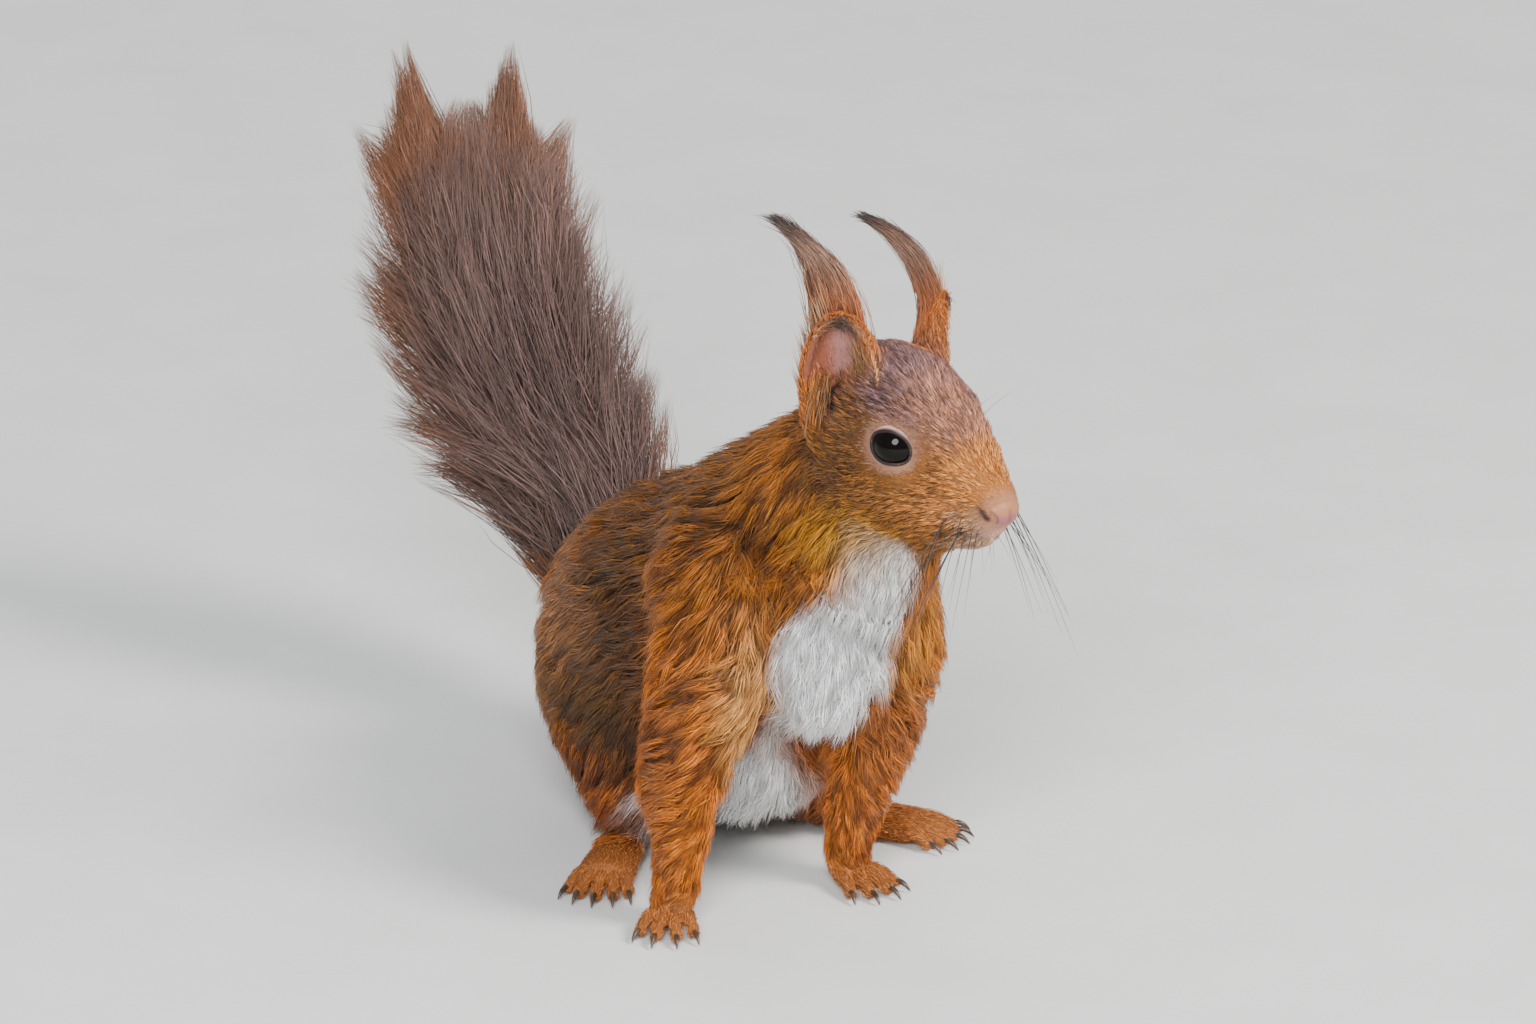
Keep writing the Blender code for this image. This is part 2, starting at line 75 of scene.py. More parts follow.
Array = np.ndarray
Shape = bmesh.types.BMesh
Pair = tuple[float, float]
Triple = tuple[float, float, float]
Station = tuple[float, float, float, float]


class Side(Enum):
    """A side of the animal, with its sign along the head's own x."""

    LEFT = 1
    RIGHT = -1

    @property
    def word(self) -> str:
        """The side's name as node names end."""
        return self.name.lower()


class Region(Enum):
    """A part of the skin with a coat of its own."""

    HEAD = "head"
    EAR = "ear"
    NECK = "neck"
    TRUNK = "trunk"
    THIGH = "thigh"
    UPPER_ARM = "upper_arm"
    FOREARM = "forearm"
    FOOT = "foot"
    CORE = "core"


# ---- Small tools ----


def linear(red: int, green: int, blue: int) -> Triple:
    """Turns a colour as painters name it, 0 to 255, into the linear values that shaders take.

    Args:
        red: Red, 0 to 255.
        green: Green, 0 to 255.
        blue: Blue, 0 to 255.

    Returns:
        The linear colour.
    """

    def one(value: int) -> float:
        """Turns one channel."""
        share = value / 255.0
        return share / 12.92 if share <= 0.04045 else ((share + 0.055) / 1.055) ** 2.4

    return one(red), one(green), one(blue)


def unit(vectors: Array) -> Array:
    """Scales each row to a length of one."""
    return vectors / np.maximum(np.linalg.norm(vectors, axis=-1, keepdims=True), 1e-9)


def smooth_step(value: Array) -> Array:
    """Eases 0 to 1."""
    share = np.clip(value, 0.0, 1.0)
    return share * share * (3.0 - 2.0 * share)


def wander(places: Array, size: float, seed: int, columns: int = 1) -> Array:
    """A smooth, aimless value that changes from place to place.

    Args:
        places: Rows of x, y and z.
        size: How far apart its rises and dips are, in millimetres.
        seed: Chooses one of many such patterns.
        columns: How many values each place gets.

    Returns:
        Rows of values, most of them between -1 and 1.
    """
    rng = np.random.default_rng(seed)
    total = np.zeros((len(places), columns))
    for column in range(columns):
        for _ in range(6):
            way = unit(rng.normal(0.0, 1.0, 3)) * rng.uniform(0.6, 1.6) * 2.0 * math.pi / size
            total[:, column] += np.sin(places @ way + rng.uniform(0.0, 6.28))
    return total / 2.4


def nearest_on(line: Array, places: Array) -> tuple[Array, Array]:
    """Finds the nearest point of a line to each place.

    Args:
        line: Points along the line.
        places: Rows of x, y and z.

    Returns:
        The row of the nearest point of the line, and how far off it is.
    """
    gap = (places**2).sum(1)[:, None] + (line**2).sum(1)[None, :] - 2.0 * places @ line.T
    row = gap.argmin(axis=1)
    return row, np.sqrt(np.maximum(gap[np.arange(len(places)), row], 0.0))


def along(stations: Sequence[Station], place: Array) -> Array:
    """Reads places on the smooth line through stations.

    Args:
        stations: Rows of x, y, z and radius.
        place: Places along the line, 0 at its start and 1 at its end. Past 1 the line runs straight on.

    Returns:
        A row of x, y, z and radius for each place.
    """
    rows = np.array(stations, float)
    spans = len(rows) - 1
    inside = np.clip(place, 0.0, 1.0) * spans
    first = np.minimum(inside.astype(int), spans - 1)
    f = (inside - first)[:, None]
    before = rows[np.maximum(first - 1, 0)]
    a = rows[first]
    b = rows[first + 1]
    after = rows[np.minimum(first + 2, spans)]
    return (
        a * (2 * f**3 - 3 * f**2 + 1)
        + (b - before) * 0.5 * (f**3 - 2 * f**2 + f)
        + b * (3 * f**2 - 2 * f**3)
        + (after - a) * 0.5 * (f**3 - f**2)
    )


def linked(name: str, data: bpy.types.ID) -> Object:
    """Makes an object of a mesh, a lamp or a camera and links it to the scene."""
    made = bpy.data.objects.new(name, data)
    bpy.context.scene.collection.objects.link(made)
    return made


def piece(name: str, mesh: Mesh, replaced: tuple[str, ...] = ()) -> Object:
    """Links a finished mesh as a piece of the animal.

    Args:
        name: The piece's name.
        mesh: Its mesh, in place.
        replaced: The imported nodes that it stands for.

    Returns:
        The new object.
    """
    made = linked(name, mesh)
    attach(made, BODY)
    if replaced:
        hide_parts(*replaced)
    LOG.info("%s: %d faces", name, len(mesh.polygons))
    return made


def mesh_from(shape: Shape, name: str) -> Mesh:
    """Turns a bmesh into a mesh and frees it."""
    mesh = bpy.data.meshes.new(name)
    shape.to_mesh(mesh)
    shape.free()
    return mesh


def carved(
    name: str, shape: Shape, finish: Finish, replaced: tuple[str, ...] = ()
) -> None:
    """Turns a bmesh into a smooth piece whose faces look outwards.

    Args:
        name: The piece's name.
        shape: The bmesh, which is freed.
        finish: What it is finished in.
        replaced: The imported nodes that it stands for.
    """
    bmesh.ops.recalc_face_normals(shape, faces=shape.faces)
    mesh = mesh_from(shape, name)
    mesh.shade_smooth()
    mesh.materials.append(finish.material())
    piece(name, mesh, replaced)


def colour_in(mesh: Mesh, colours: Array) -> None:
    """Gives each vertex of a mesh its colour."""
    rows = np.ones((len(colours), 4), np.float32)
    rows[:, :3] = colours
    layer = mesh.color_attributes.new(COLOUR, "FLOAT_COLOR", "POINT")
    layer.data.foreach_set("color", rows.ravel())


def mesh_of(
    name: str, points: Array, faces: Array, colours: Array, patches: Array
) -> Mesh:
    """Joins arrays into one mesh.

    Args:
        name: The mesh's name.
        points: A row for each vertex, in metres.
        faces: A row of three vertices for each triangle.
        colours: A colour for each vertex.
        patches: A place on the coat's map for each vertex.

    Returns:
        The mesh, shaded smooth.
    """
    mesh = bpy.data.meshes.new(name)
    mesh.vertices.add(len(points))
    mesh.vertices.foreach_set("co", points.astype(np.float32).ravel())
    mesh.loops.add(faces.size)
    mesh.loops.foreach_set("vertex_index", faces.astype(np.int32).ravel())
    mesh.polygons.add(len(faces))
    mesh.polygons.foreach_set("loop_start", np.arange(0, faces.size, 3, dtype=np.int32))
    mesh.update(calc_edges=True)
    colour_in(mesh, colours)
    layer = mesh.uv_layers.new(name=COAT_MAP)
    layer.data.foreach_set("uv", patches[faces.ravel()].astype(np.float32).ravel())
    mesh.shade_smooth()
    return mesh


def rows_of(items: bpy.types.bpy_prop_collection, name: str) -> Array:
    """Reads three numbers of each item as a row of an array."""
    found = np.empty(len(items) * 3, np.float32)
    items.foreach_get(name, found)
    return found.reshape(-1, 3).astype(float)


def triangles_of(mesh: Mesh) -> tuple[Array, Array]:
    """Reads a mesh's triangles.

    Args:
        mesh: The mesh.

    Returns:
        The three vertices and the three loops of each triangle.
    """
    mesh.calc_loop_triangles()
    count = len(mesh.loop_triangles)
    corners = np.empty(count * 3, np.int32)
    loops = np.empty(count * 3, np.int32)
    mesh.loop_triangles.foreach_get("vertices", corners)
    mesh.loop_triangles.foreach_get("loops", loops)
    return corners.reshape(-1, 3), loops.reshape(-1, 3)


def tree_of(places: Array, rows: Array) -> KDTree:
    """A tree that finds the nearest of some rows of places."""
    tree = KDTree(len(rows))
    for row in rows:
        tree.insert(places[row], int(row))
    tree.balance()
    return tree


def triangle_weights(count: int, rng: Generator) -> Array:
    """Draws places spread evenly within triangles, as shares of the three corners."""
    u, v = rng.random((2, count))
    over = u + v > 1.0
    u[over], v[over] = 1.0 - u[over], 1.0 - v[over]
    return np.stack([1.0 - u - v, u, v], axis=1)


def baked(obj: Object) -> Mesh:
    """Applies an object's modifiers and removes the object.

    Args:
        obj: A helper object.

    Returns:
        The finished mesh.
    """
    bpy.context.view_layer.update()
    graph = bpy.context.evaluated_depsgraph_get()
    mesh = bpy.data.meshes.new_from_object(obj.evaluated_get(graph))
    bpy.data.objects.remove(obj, do_unlink=True)
    return mesh


# ---- The animal's measures ----


@dataclass(frozen=True)
class Toe:
    """A toe's root on the floor plan, the way it points and its length."""

    root: Array
    turned: Array
    reach: float

    def line(self, stations: tuple[Triple, ...]) -> list[Station]:
        """Places stations of share of the toe's length, lift and radius along the toe."""
        ahead = self.turned * self.reach
        return [(*(self.root + ahead * share), lift, radius) for share, lift, radius in stations]


@dataclass(frozen=True)
class Anatomy:
    """Where the animal's parts are, and how its coat lies on them."""

    nose_tip: Triple = (40.6, -91.5, 104.0)
    head_turn: float = math.radians(22.0)
    eye_place: Triple = (8.5, 26.8, 9.3)
    ball_place: Triple = (8.9, 27.15, 8.9)
    ball_radius: float = 5.45
    ball_axis: Triple = (0.914, -0.381, 0.14)
    trunk: tuple[Station, ...] = (
        (16, -49, 74, 14), (15.5, -40, 70, 21), (14, -26, 63, 27), (12, -9, 54.5, 33),
        (9, 10, 46, 35), (6, 30, 38, 32.5), (4, 46, 34, 26.5), (4, 58, 33, 18),
    )
    neck: tuple[Station, ...] = (
        (25, -51, 106, 15.5), (22, -43, 97, 18.5), (17, -33, 86, 21), (12.5, -20, 75.5, 22.5),
        (10, 0, 62, 23),
    )
    foreleg_right: tuple[Station, ...] = (
        (0, -36, 72, 15.5), (-8, -42, 60, 14.5), (-14, -45, 46, 11.3), (-17.8, -46, 33, 8.9),
        (-17.8, -45, 19, 6.2), (-18.5, -43.5, 8, 5.0),
    )
    foreleg_left: tuple[Station, ...] = (
        (27, -36, 73, 14.5), (31, -40, 58, 12.6), (30, -38, 44, 11.0), (28, -37, 32, 9.4),
        (26, -35, 18, 6.6), (24.6, -33.5, 8, 5.0),
    )
    tail: tuple[Station, ...] = (
        (5, 56, 33, 8.5), (5, 68, 42, 8.5), (4, 79, 53, 11.5), (-2, 88, 64, 17), (-7, 97, 82, 18),
        (-11, 103, 102, 17), (-12, 107, 121, 13.5), (-12, 110, 138, 6),
    )
    # Heel and toe tip on the floor, width, number of toes.
    feet: tuple[tuple[str, Pair, Pair, float, int], ...] = (
        ("forefoot_right", (-17.4, -39.0), (-24.8, -55.0), 10.0, 4),
        ("forefoot_left", (23.8, -29.0), (28.0, -46.0), 10.0, 4),
        ("hindfoot_right", (-5.0, 15.0), (-31.0, -27.0), 12.5, 5),
        ("hindfoot_left", (21.0, 11.0), (54.5, -20.5), 12.5, 5),
    )
    toe_length: float = 9.0
    toe_set_in: float = 1.5
    toe_spread: float = 0.34
    toe_splay: float = 0.36
    toe_arc: float = 2.6

    @cached_property
    def offset(self) -> Array:
        """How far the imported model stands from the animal's own frame, in millimetres."""
        low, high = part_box("eye_right")
        packed = np.array((low + high) / 2) / MM
        made = self.from_head(np.array([self.mirrored(self.eye_place, Side.RIGHT)]))[0]
        return packed - made

    @cached_property
    def head_axes(self) -> Array:
        """The head's own axes as rows."""
        c, s = math.cos(self.head_turn), math.sin(self.head_turn)
        return np.array([(c, s, 0.0), (-s, c, 0.0), (0.0, 0.0, 1.0)])

    def from_head(self, places: Array) -> Array:
        """Turns places in the head's frame into the animal's."""
        return places @ self.head_axes + np.array(self.nose_tip)

    def to_head(self, places: Array) -> Array:
        """Turns places in the animal's frame into the head's."""
        return (places - np.array(self.nose_tip)) @ self.head_axes.T

    def head_direction(self, direction: Triple) -> Array:
        """Turns a direction in the head's frame into the animal's."""
        return self.from_head(np.array([direction]))[0] - np.array(self.nose_tip)

    @staticmethod
    def mirrored(place: Triple, side: Side) -> Triple:
        """A place on the animal's left, or the matching one on its right."""
        return place[0] * side.value, place[1], place[2]

    def world(self, places: Array) -> Array:
        """Turns places in the animal's frame into the world's metres."""
        return (places + self.offset) * MM

    def own(self, places: Array) -> Array:
        """Turns the world's metres into places in the animal's frame."""
        return places / MM - self.offset

    def placed(self, stations: Sequence[Station]) -> list[Station]:
        """Turns stations in the animal's frame into the world's metres."""
        places = self.world(np.array(stations)[:, :3])
        return [(*place, station[3] * MM) for place, station in zip(places, stations)]

    def toes(
        self, heel: Pair, toe: Pair, width: float, count: int
    ) -> list[Toe]:
        """Sets the toes of a foot out in a fan.

        Args:
            heel: The heel on the floor.
            toe: The tip of the middle toe.
            width: The foot's width.
            count: How many toes it has.

        Returns:
            The toes, from one side to the other.
        """
        heel_at, toe_at = np.array(heel), np.array(toe)
        length = float(np.linalg.norm(toe_at - heel_at))
        ahead = (toe_at - heel_at) / length
        across = np.array((-ahead[1], ahead[0]))
        made = []
        for spread in np.linspace(-1.0, 1.0, count):
            root = heel_at + ahead * (length - self.toe_length - self.toe_set_in)
            root = root + across * (spread * width * self.toe_spread)
            turned = unit(ahead + across * spread * self.toe_splay)
            made.append(Toe(root, turned, self.toe_length + self.toe_set_in - self.toe_arc * spread**2))
        return made


@dataclass(frozen=True)
class Coat:
    """How the hair of one region grows, in millimetres."""

    length: float
    width: float
    lift: float
    density: float
    depth: float
    clump: float
    wave: float
    stray: float
    lock: float


COATS: dict[Region, Coat] = {
    Region.HEAD: Coat(4.2, 0.22, 0.27, 7.6, 0.8, 0.55, 0.25, 0.13, 1.1),
    Region.EAR: Coat(2.3, 0.18, 0.22, 6.0, 0.3, 0.20, 0.05, 0.14, 1.0),
    Region.NECK: Coat(8.5, 0.26, 0.28, 5.0, 2.1, 0.70, 0.60, 0.12, 2.0),
    Region.TRUNK: Coat(10.5, 0.29, 0.26, 3.6, 2.5, 0.74, 0.70, 0.13, 2.5),
    Region.THIGH: Coat(8.5, 0.28, 0.25, 3.8, 2.1, 0.66, 0.55, 0.14, 2.4),
    Region.UPPER_ARM: Coat(9.5, 0.25, 0.25, 5.2, 2.0, 0.78, 0.90, 0.11, 2.2),
    Region.FOREARM: Coat(6.0, 0.22, 0.20, 6.0, 1.1, 0.66, 0.60, 0.11, 1.7),
    Region.FOOT: Coat(1.8, 0.19, 0.18, 4.6, 0.40, 0.15, 0.05, 0.12, 1.0),
    Region.CORE: Coat(7.0, 0.36, 0.22, 2.0, 0.0, 0.2, 0.2, 0.15, 3.0),
}


@dataclass(frozen=True)
class Marking:
    """A soft-edged patch of colour on skin and coat."""

    name: str
    centre: Triple
    radii: Triple
    colour: Triple
    strength: float = 1.0
    mirror: bool = False
    soft: float = 0.5


@dataclass(frozen=True)
class Stripe:
    """A soft-edged band of colour along a line of x, y, z and half width."""

    name: str
    stations: tuple[Station, ...]
    colour: Triple
    strength: float = 1.0
    soft: float = 0.3


RUST = linear(184, 106, 44)
DEEP_RUST = linear(150, 80, 32)
GOLD = linear(178, 122, 30)
TAN = linear(216, 142, 84)
SAND = linear(196, 140, 116)
MAUVE = linear(138, 106, 106)
BROW = linear(126, 92, 90)
WHITE = linear(246, 244, 242)
BUFF = linear(212, 158, 104)
BACK_BROWN = linear(112, 72, 34)
DARK_BROWN = linear(72, 46, 28)
# The thighs' rusty brown, darkened in part as painted shade.
SHADED_HAUNCH = linear(140, 92, 44)
# Painted light: the paler, pinker colour of the lit tops of the haunches, with their sheen.
LIT_HAUNCH_TOP = linear(156, 108, 74)
EAR_SKIN = linear(198, 136, 126)
EAR_RUST = linear(196, 108, 70)
EAR_SHADE = linear(112, 74, 68)
# Painted shadow, laid in the way into each ear and along the mouth line.
DEEP_SHADOW = linear(40, 24, 18)
# Painted shadow in the nostrils and in the groove of the nose pad.
NOSTRIL_SHADOW = linear(46, 22, 22)

BASE_COLOURS: dict[Region, Triple] = {
    Region.HEAD: linear(146, 94, 48),
    Region.EAR: linear(172, 100, 52),
    Region.NECK: linear(178, 108, 54),
    Region.TRUNK: RUST,
    Region.THIGH: SHADED_HAUNCH,
    Region.UPPER_ARM: linear(176, 102, 44),
    Region.FOREARM: linear(190, 110, 48),
    Region.FOOT: linear(180, 114, 68),
    Region.CORE: DARK_BROWN,
}

MARKINGS: tuple[Marking, ...] = (
    Marking("back", (8, 12, 78), (40, 70, 28), BACK_BROWN, 0.85),
    Marking("nape", (14, -20, 102), (22, 26, 18), linear(126, 84, 40), 0.5),
    # Painted shadow: both flanks are darker, as sides in shade, the right one, away from the key light,
    # most.
    Marking("shaded_flank", (-18, -4, 44), (17, 24, 30), linear(78, 52, 22), 0.85),
    Marking("shaded_flank", (40, -4, 44), (15, 24, 30), linear(90, 58, 26), 0.75),
    # Painted light: the tops of both haunches are paler and pinker, standing in for light and sheen on them.
    Marking("lit_haunch_top", (-16, 22, 50), (16, 22, 12), LIT_HAUNCH_TOP, 0.8),
    Marking("lit_haunch_top", (36, 22, 50), (16, 22, 12), LIT_HAUNCH_TOP, 0.8),
    Marking("haunch_foot", (-18, 18, 14), (18, 34, 14), DEEP_RUST, 0.75),
    Marking("haunch_foot", (38, 18, 14), (18, 34, 14), DEEP_RUST, 0.75),
    Marking("rump", (4, 50, 26), (28, 20, 24), DEEP_RUST, 0.6),
    Marking("inner_arm", (-3, -54, 52), (6, 12, 20), BUFF, 0.75, soft=0.6),
    # Painted light: the left shoulder, on the side of the key light, is paler.
    Marking("lit_left_shoulder", (31, -50, 70), (9, 12, 16), linear(206, 138, 74), 0.7, soft=0.6),
)

STRIPES: tuple[Stripe, ...] = (
    Stripe("throat", ((22, -66, 95, 8.5), (21, -61, 86, 8.8), (18, -59, 75, 9.2)), WHITE, soft=0.18),
    Stripe("bib", ((16.2, -60, 74, 9.2), (10.8, -58, 61, 12.2), (6.8, -50, 46, 10.5)), WHITE, soft=0.14),
    Stripe("belly", ((7, -46, 38, 12), (6, -34, 22, 15), (6, -14, 12, 17), (7, 6, 10, 16)), WHITE, soft=0.3),
)

HEAD_MARKINGS: tuple[Marking, ...] = (
    Marking("crown", (0, 35, 25), (11.5, 20, 15), MAUVE, 0.95, soft=0.35),
    Marking("temple", (11, 34, 12), (6, 10, 8), linear(122, 84, 54), 0.6, True),
    Marking("brow", (8.5, 26, 17.5), (5.5, 9, 4.5), BROW, 0.85, True, 0.4),
    Marking("forehead", (0, 20, 14), (9, 12, 9), SAND, 0.8),
    Marking("face", (7, 14, 2), (7, 9, 7), TAN, 0.85, True),
    Marking("bridge", (0, 8, 5), (7, 9, 6), TAN, 0.95),
    Marking("under_eye", (10, 22, 2), (6, 8, 4), linear(158, 104, 50), 0.6, True),
    Marking("cheek", (14, 32, -1), (9, 13, 8), linear(140, 88, 38), 0.7, True),
    Marking("jowl", (13, 33, -8), (8, 12, 5), GOLD, 0.7, True),
    Marking("eye_ring", (9.4, 26.8, 9.0), (6.9, 7.2, 6.8), linear(180, 134, 112), 0.8, True, 0.12),
    Marking("chin", (0, 9, -8.5), (6, 9, 4.5), linear(216, 178, 150), 0.7),
    Marking("lip", (2.6, 4.6, -6.4), (4.0, 4.4, 2.4), linear(214, 172, 156), 0.65, True, 0.35),
    Marking("whisker_pad", (5, 8, -3.4), (3.5, 5, 2.6), linear(202, 158, 124), 0.7, True),
    Marking("nose_edge", (0, 4.0, -1.9), (5.6, 4.2, 4.4), linear(208, 150, 122), 0.75, soft=0.35),
    Marking("throat_side", (10, 40, -12), (10, 14, 7), GOLD, 0.7, True),
    Marking("ear_foot", (15, 43, 2), (8, 9, 8), linear(116, 76, 36), 0.8, True),
)

# Drawn on both halves of the head: the mouth line and the nostril slits, painted dark as the shadow in these
# creases.
FACE_LINES: tuple[Stripe, ...] = (
    Stripe(
        "mouth",
        ((0, 2, -5.9, 0.4), (3.4, 5, -6.8, 0.5), (5.6, 10, -7.1, 0.5), (6.6, 14, -6.4, 0.3)),
        DEEP_SHADOW,
        0.45,
        0.5,
    ),
    Stripe(
        "nostril",
        ((5.7, 5.8, -0.2, 0.35), (5.2, 4.8, -1.3, 0.6), (4.6, 4.1, -2.6, 0.65), (3.9, 3.6, -3.6, 0.4)),
        NOSTRIL_SHADOW,
        0.95,
        0.5,
    ),
)


@dataclass(frozen=True)
class Palette:
    """The animal's markings, shared by its skin and its coat."""

    anatomy: Anatomy
    richness: float = 1.15

    def paint(
        self, places: Array, base: Array, on_ear: Array, on_leg: Array
    ) -> Array:
        """Lays every marking over the base colours.

        Args:
            places: Rows of x, y and z in the animal's frame.
            base: A colour for each.
            on_ear: How far each belongs to an ear.
            on_leg: How far each belongs to a foreleg.

        Returns:
            The marked colours.
        """
        broad = 1.0 + wander(places, 26.0, 5) * 0.07 + wander(places, 9.0, 6) * 0.05
        colours = base.copy()
        for marking in MARKINGS:
            colours = self.lay(colours, self.reach(places, marking, Side.LEFT), marking)
        colours = colours * broad
        for stripe in STRIPES:
            colours = self.lay(colours, self.band(places, stripe) + on_leg * 0.9, stripe)
        in_head = self.anatomy.to_head(places)
        near_head = smooth_step((40.0 - np.abs(in_head[:, 1] - 24.0)) / 8.0)
        near_head *= smooth_step((34.0 - np.abs(in_head[:, 2])) / 6.0)
        near_head *= 1.0 - on_ear * smooth_step((in_head[:, 2] - 10.0) / 6.0)
        headed = colours
        for marking in HEAD_MARKINGS:
            for side in Side if marking.mirror else (Side.LEFT,):
                headed = self.lay(headed, self.reach(in_head, marking, side), marking)
        folded = np.abs(in_head * np.array([1.0, 0.0, 0.0])) + in_head * np.array([0.0, 1.0, 1.0])
        for stripe in FACE_LINES:
            headed = self.lay(headed, self.band(folded, stripe), stripe)
        colours = self.enriched(colours + (headed - colours) * near_head[:, None])
        for ear in EARS:
            colours = self.ear_inside(colours, ear.local(self.anatomy, places), ear)
        return colours

    @staticmethod
    def ear_inside(colours: Array, local: Array, ear: Ear) -> Array:
        """Colours the bare cup of an ear, and paints the way into it at its foot dark, as its shadow.

        Args:
            colours: The colours so far.
            local: Places in the ear's own frame.
            ear: The ear.

        Returns:
            The new colours.
        """
        cup, canal = ear.cup(local), ear.canal(local)
        edge = np.hypot(local[:, 0] / ear.half[0], local[:, 2] / ear.half[2])
        shade = np.tile(EAR_SKIN, (len(local), 1))
        for colour, share in (
            (EAR_RUST, smooth_step((local[:, 0] - 1.0) / 4.0) * 0.85),
            (EAR_SHADE, smooth_step((edge - 0.7) / 0.26) * 0.6),
            (EAR_RUST, smooth_step((6.0 - local[:, 2]) / 6.0) * 0.5),
            (DEEP_SHADOW, canal),
        ):
            shade = shade + (np.array(colour) - shade) * share[:, None]
        return colours + (shade - colours) * np.maximum(cup, canal)[:, None]

    def enriched(self, colours: Array) -> Array:
        """Deepens the hues, which studio light pales, and leaves the white hair as it is."""
        grey = colours.mean(axis=1, keepdims=True)
        return (grey + (colours - grey) * self.richness).clip(0.004, 1.0)

    def reach(self, places: Array, marking: Marking, side: Side) -> Array:
        """How far out each place is from a marking's middle, as a share of its radii."""
        centre = np.array(self.anatomy.mirrored(marking.centre, side))
        return np.linalg.norm((places - centre) / np.array(marking.radii), axis=1)

    @staticmethod
    def band(places: Array, stripe: Stripe) -> Array:
        """How far out each place is from a stripe's line, as a share of its half width."""
        line = along(stripe.stations, np.linspace(0.0, 1.0, 40))
        row, gap = nearest_on(line[:, :3], places)
        return gap / line[row, 3]

    @staticmethod
    def lay(colours: Array, reach: Array, marking: Marking | Stripe) -> Array:
        """Lays one marking over the colours so far, where reach is 1 at the marking's edge."""
        share = smooth_step((1.0 + marking.soft - reach) / (2.0 * marking.soft)) * marking.strength
        return colours + (np.array(marking.colour) - colours) * share[:, None]


@dataclass(frozen=True)
class Ear:
    """One ear: its middle and the line across it in the head's frame, and the line of its tuft."""

    side: Side
    middle: Triple
    across: tuple[float, float]
    flat: float
    tuft: tuple[Station, ...]
    half: Triple = (8.4, 5.8, 17.0)

    def axes(self, anatomy: Anatomy) -> tuple[Array, Array]:
        """Finds the ear's own frame in the animal's.

        Args:
            anatomy: The animal's measures.

        Returns:
            The ear's middle, and its across, through and up axes as rows.
        """
        side = self.side.value
        lateral, back = np.array(self.across) / math.hypot(*self.across)
        rows = [(lateral * side, back, 0.0), (back * side, -lateral, 0.0), (0.0, 0.0, 1.0)]
        middle = anatomy.from_head(np.array([anatomy.mirrored(self.middle, self.side)]))[0]
        return middle, np.array([anatomy.head_direction(row) for row in rows])

    def local(self, anatomy: Anatomy, places: Array) -> Array:
        """Turns places in the animal's frame into the ear's own."""
        middle, rows = self.axes(anatomy)
        return (places - middle) @ rows.T

    def hollow(self, local: Array) -> Array:
        """How far each place lies on the hollow side of the ear, not on its back."""
        return smooth_step((0.985 - np.linalg.norm(local / np.array(self.half), axis=1)) / 0.05)

    def cup(self, local: Array) -> Array:
        """How far each place lies in the bare part of the cup, above and behind the hair in its foot."""
        front = -5.2 + (12.0 - local[:, 2]) * 0.36
        bare = smooth_step((local[:, 2] - 0.5) / 2.5) * smooth_step((local[:, 0] - front + 0.8) / 1.6)
        return self.hollow(local) * bare

    def canal(self, local: Array) -> Array:
        """How far each place lies in the way into the ear, which is painted dark as its shadow."""
        reach = np.hypot((local[:, 0] - 1.9) / 2.3, (local[:, 2] + 1.2) / 4.6)
        return smooth_step((1.25 - reach) / 0.45) * smooth_step((local[:, 1] + 4.5) / 1.0)


EARS: tuple[Ear, ...] = (
    Ear(
        Side.RIGHT,
        (13.2, 40.0, 18.0),
        (0.55, 0.835),
        0.34,
        (
            (0.8, -3.6, 3, 6.2), (1.6, -3.8, 14, 6.3), (4.3, -3.6, 25, 4.9), (9.4, -3.4, 32, 2.6),
            (16.0, -4.0, 37, 0.7),
        ),
    ),
    Ear(
        Side.LEFT,
        (14.6, 38.6, 16.8),
        (0.7, 0.71),
        0.6,
        (
            (0.0, -2.6, 5, 4.6), (0.5, -2.6, 15, 4.4), (1.5, -4.4, 21, 4.5), (3.5, -7.6, 26, 4.2),
            (6.0, -13.0, 30, 2.6), (8.0, -18.0, 32, 0.7),
        ),
    ),
)


# ---- Skin ----


def ring_edges(made: dict[str, list]) -> list[bmesh.types.BMEdge]:
    """The edges of a ring that has just been drawn."""
    return list({edge for vertex in made["verts"] for edge in vertex.link_edges})


def bridged(shape: Shape, rings: list[list[bmesh.types.BMEdge]]) -> None:
    """Joins each ring of edges to the next."""
    for first, second in zip(rings, rings[1:]):
        bmesh.ops.bridge_loops(shape, edges=first + second)


def tube_into(shape: Shape, stations: Sequence[Station], steps: int, segments: int) -> None:
    """Bridges rings along a line into a closed tube.

    Args:
        shape: The bmesh that takes the tube.
        stations: Rows of x, y, z and radius, in metres.
        steps: Rings along the tube, less one.
        segments: Sides of each ring.
    """
    rows = along(stations, np.linspace(0.0, 1.0, steps + 1))
    ahead = np.gradient(rows[:, :3], axis=0)
    rings = []
    for row, forward in zip(rows, ahead):
        turn = Vector(forward).to_track_quat("Z", "Y").to_matrix().to_4x4()
        at = Matrix.Translation(row[:3]) @ turn
        made = bmesh.ops.create_circle(
            shape, cap_ends=False, segments=segments, radius=float(row[3]), matrix=at
        )
        rings.append(ring_edges(made))
    bridged(shape, rings)
    for end in (rings[0], rings[-1]):
        bmesh.ops.holes_fill(shape, edges=end, sides=segments)


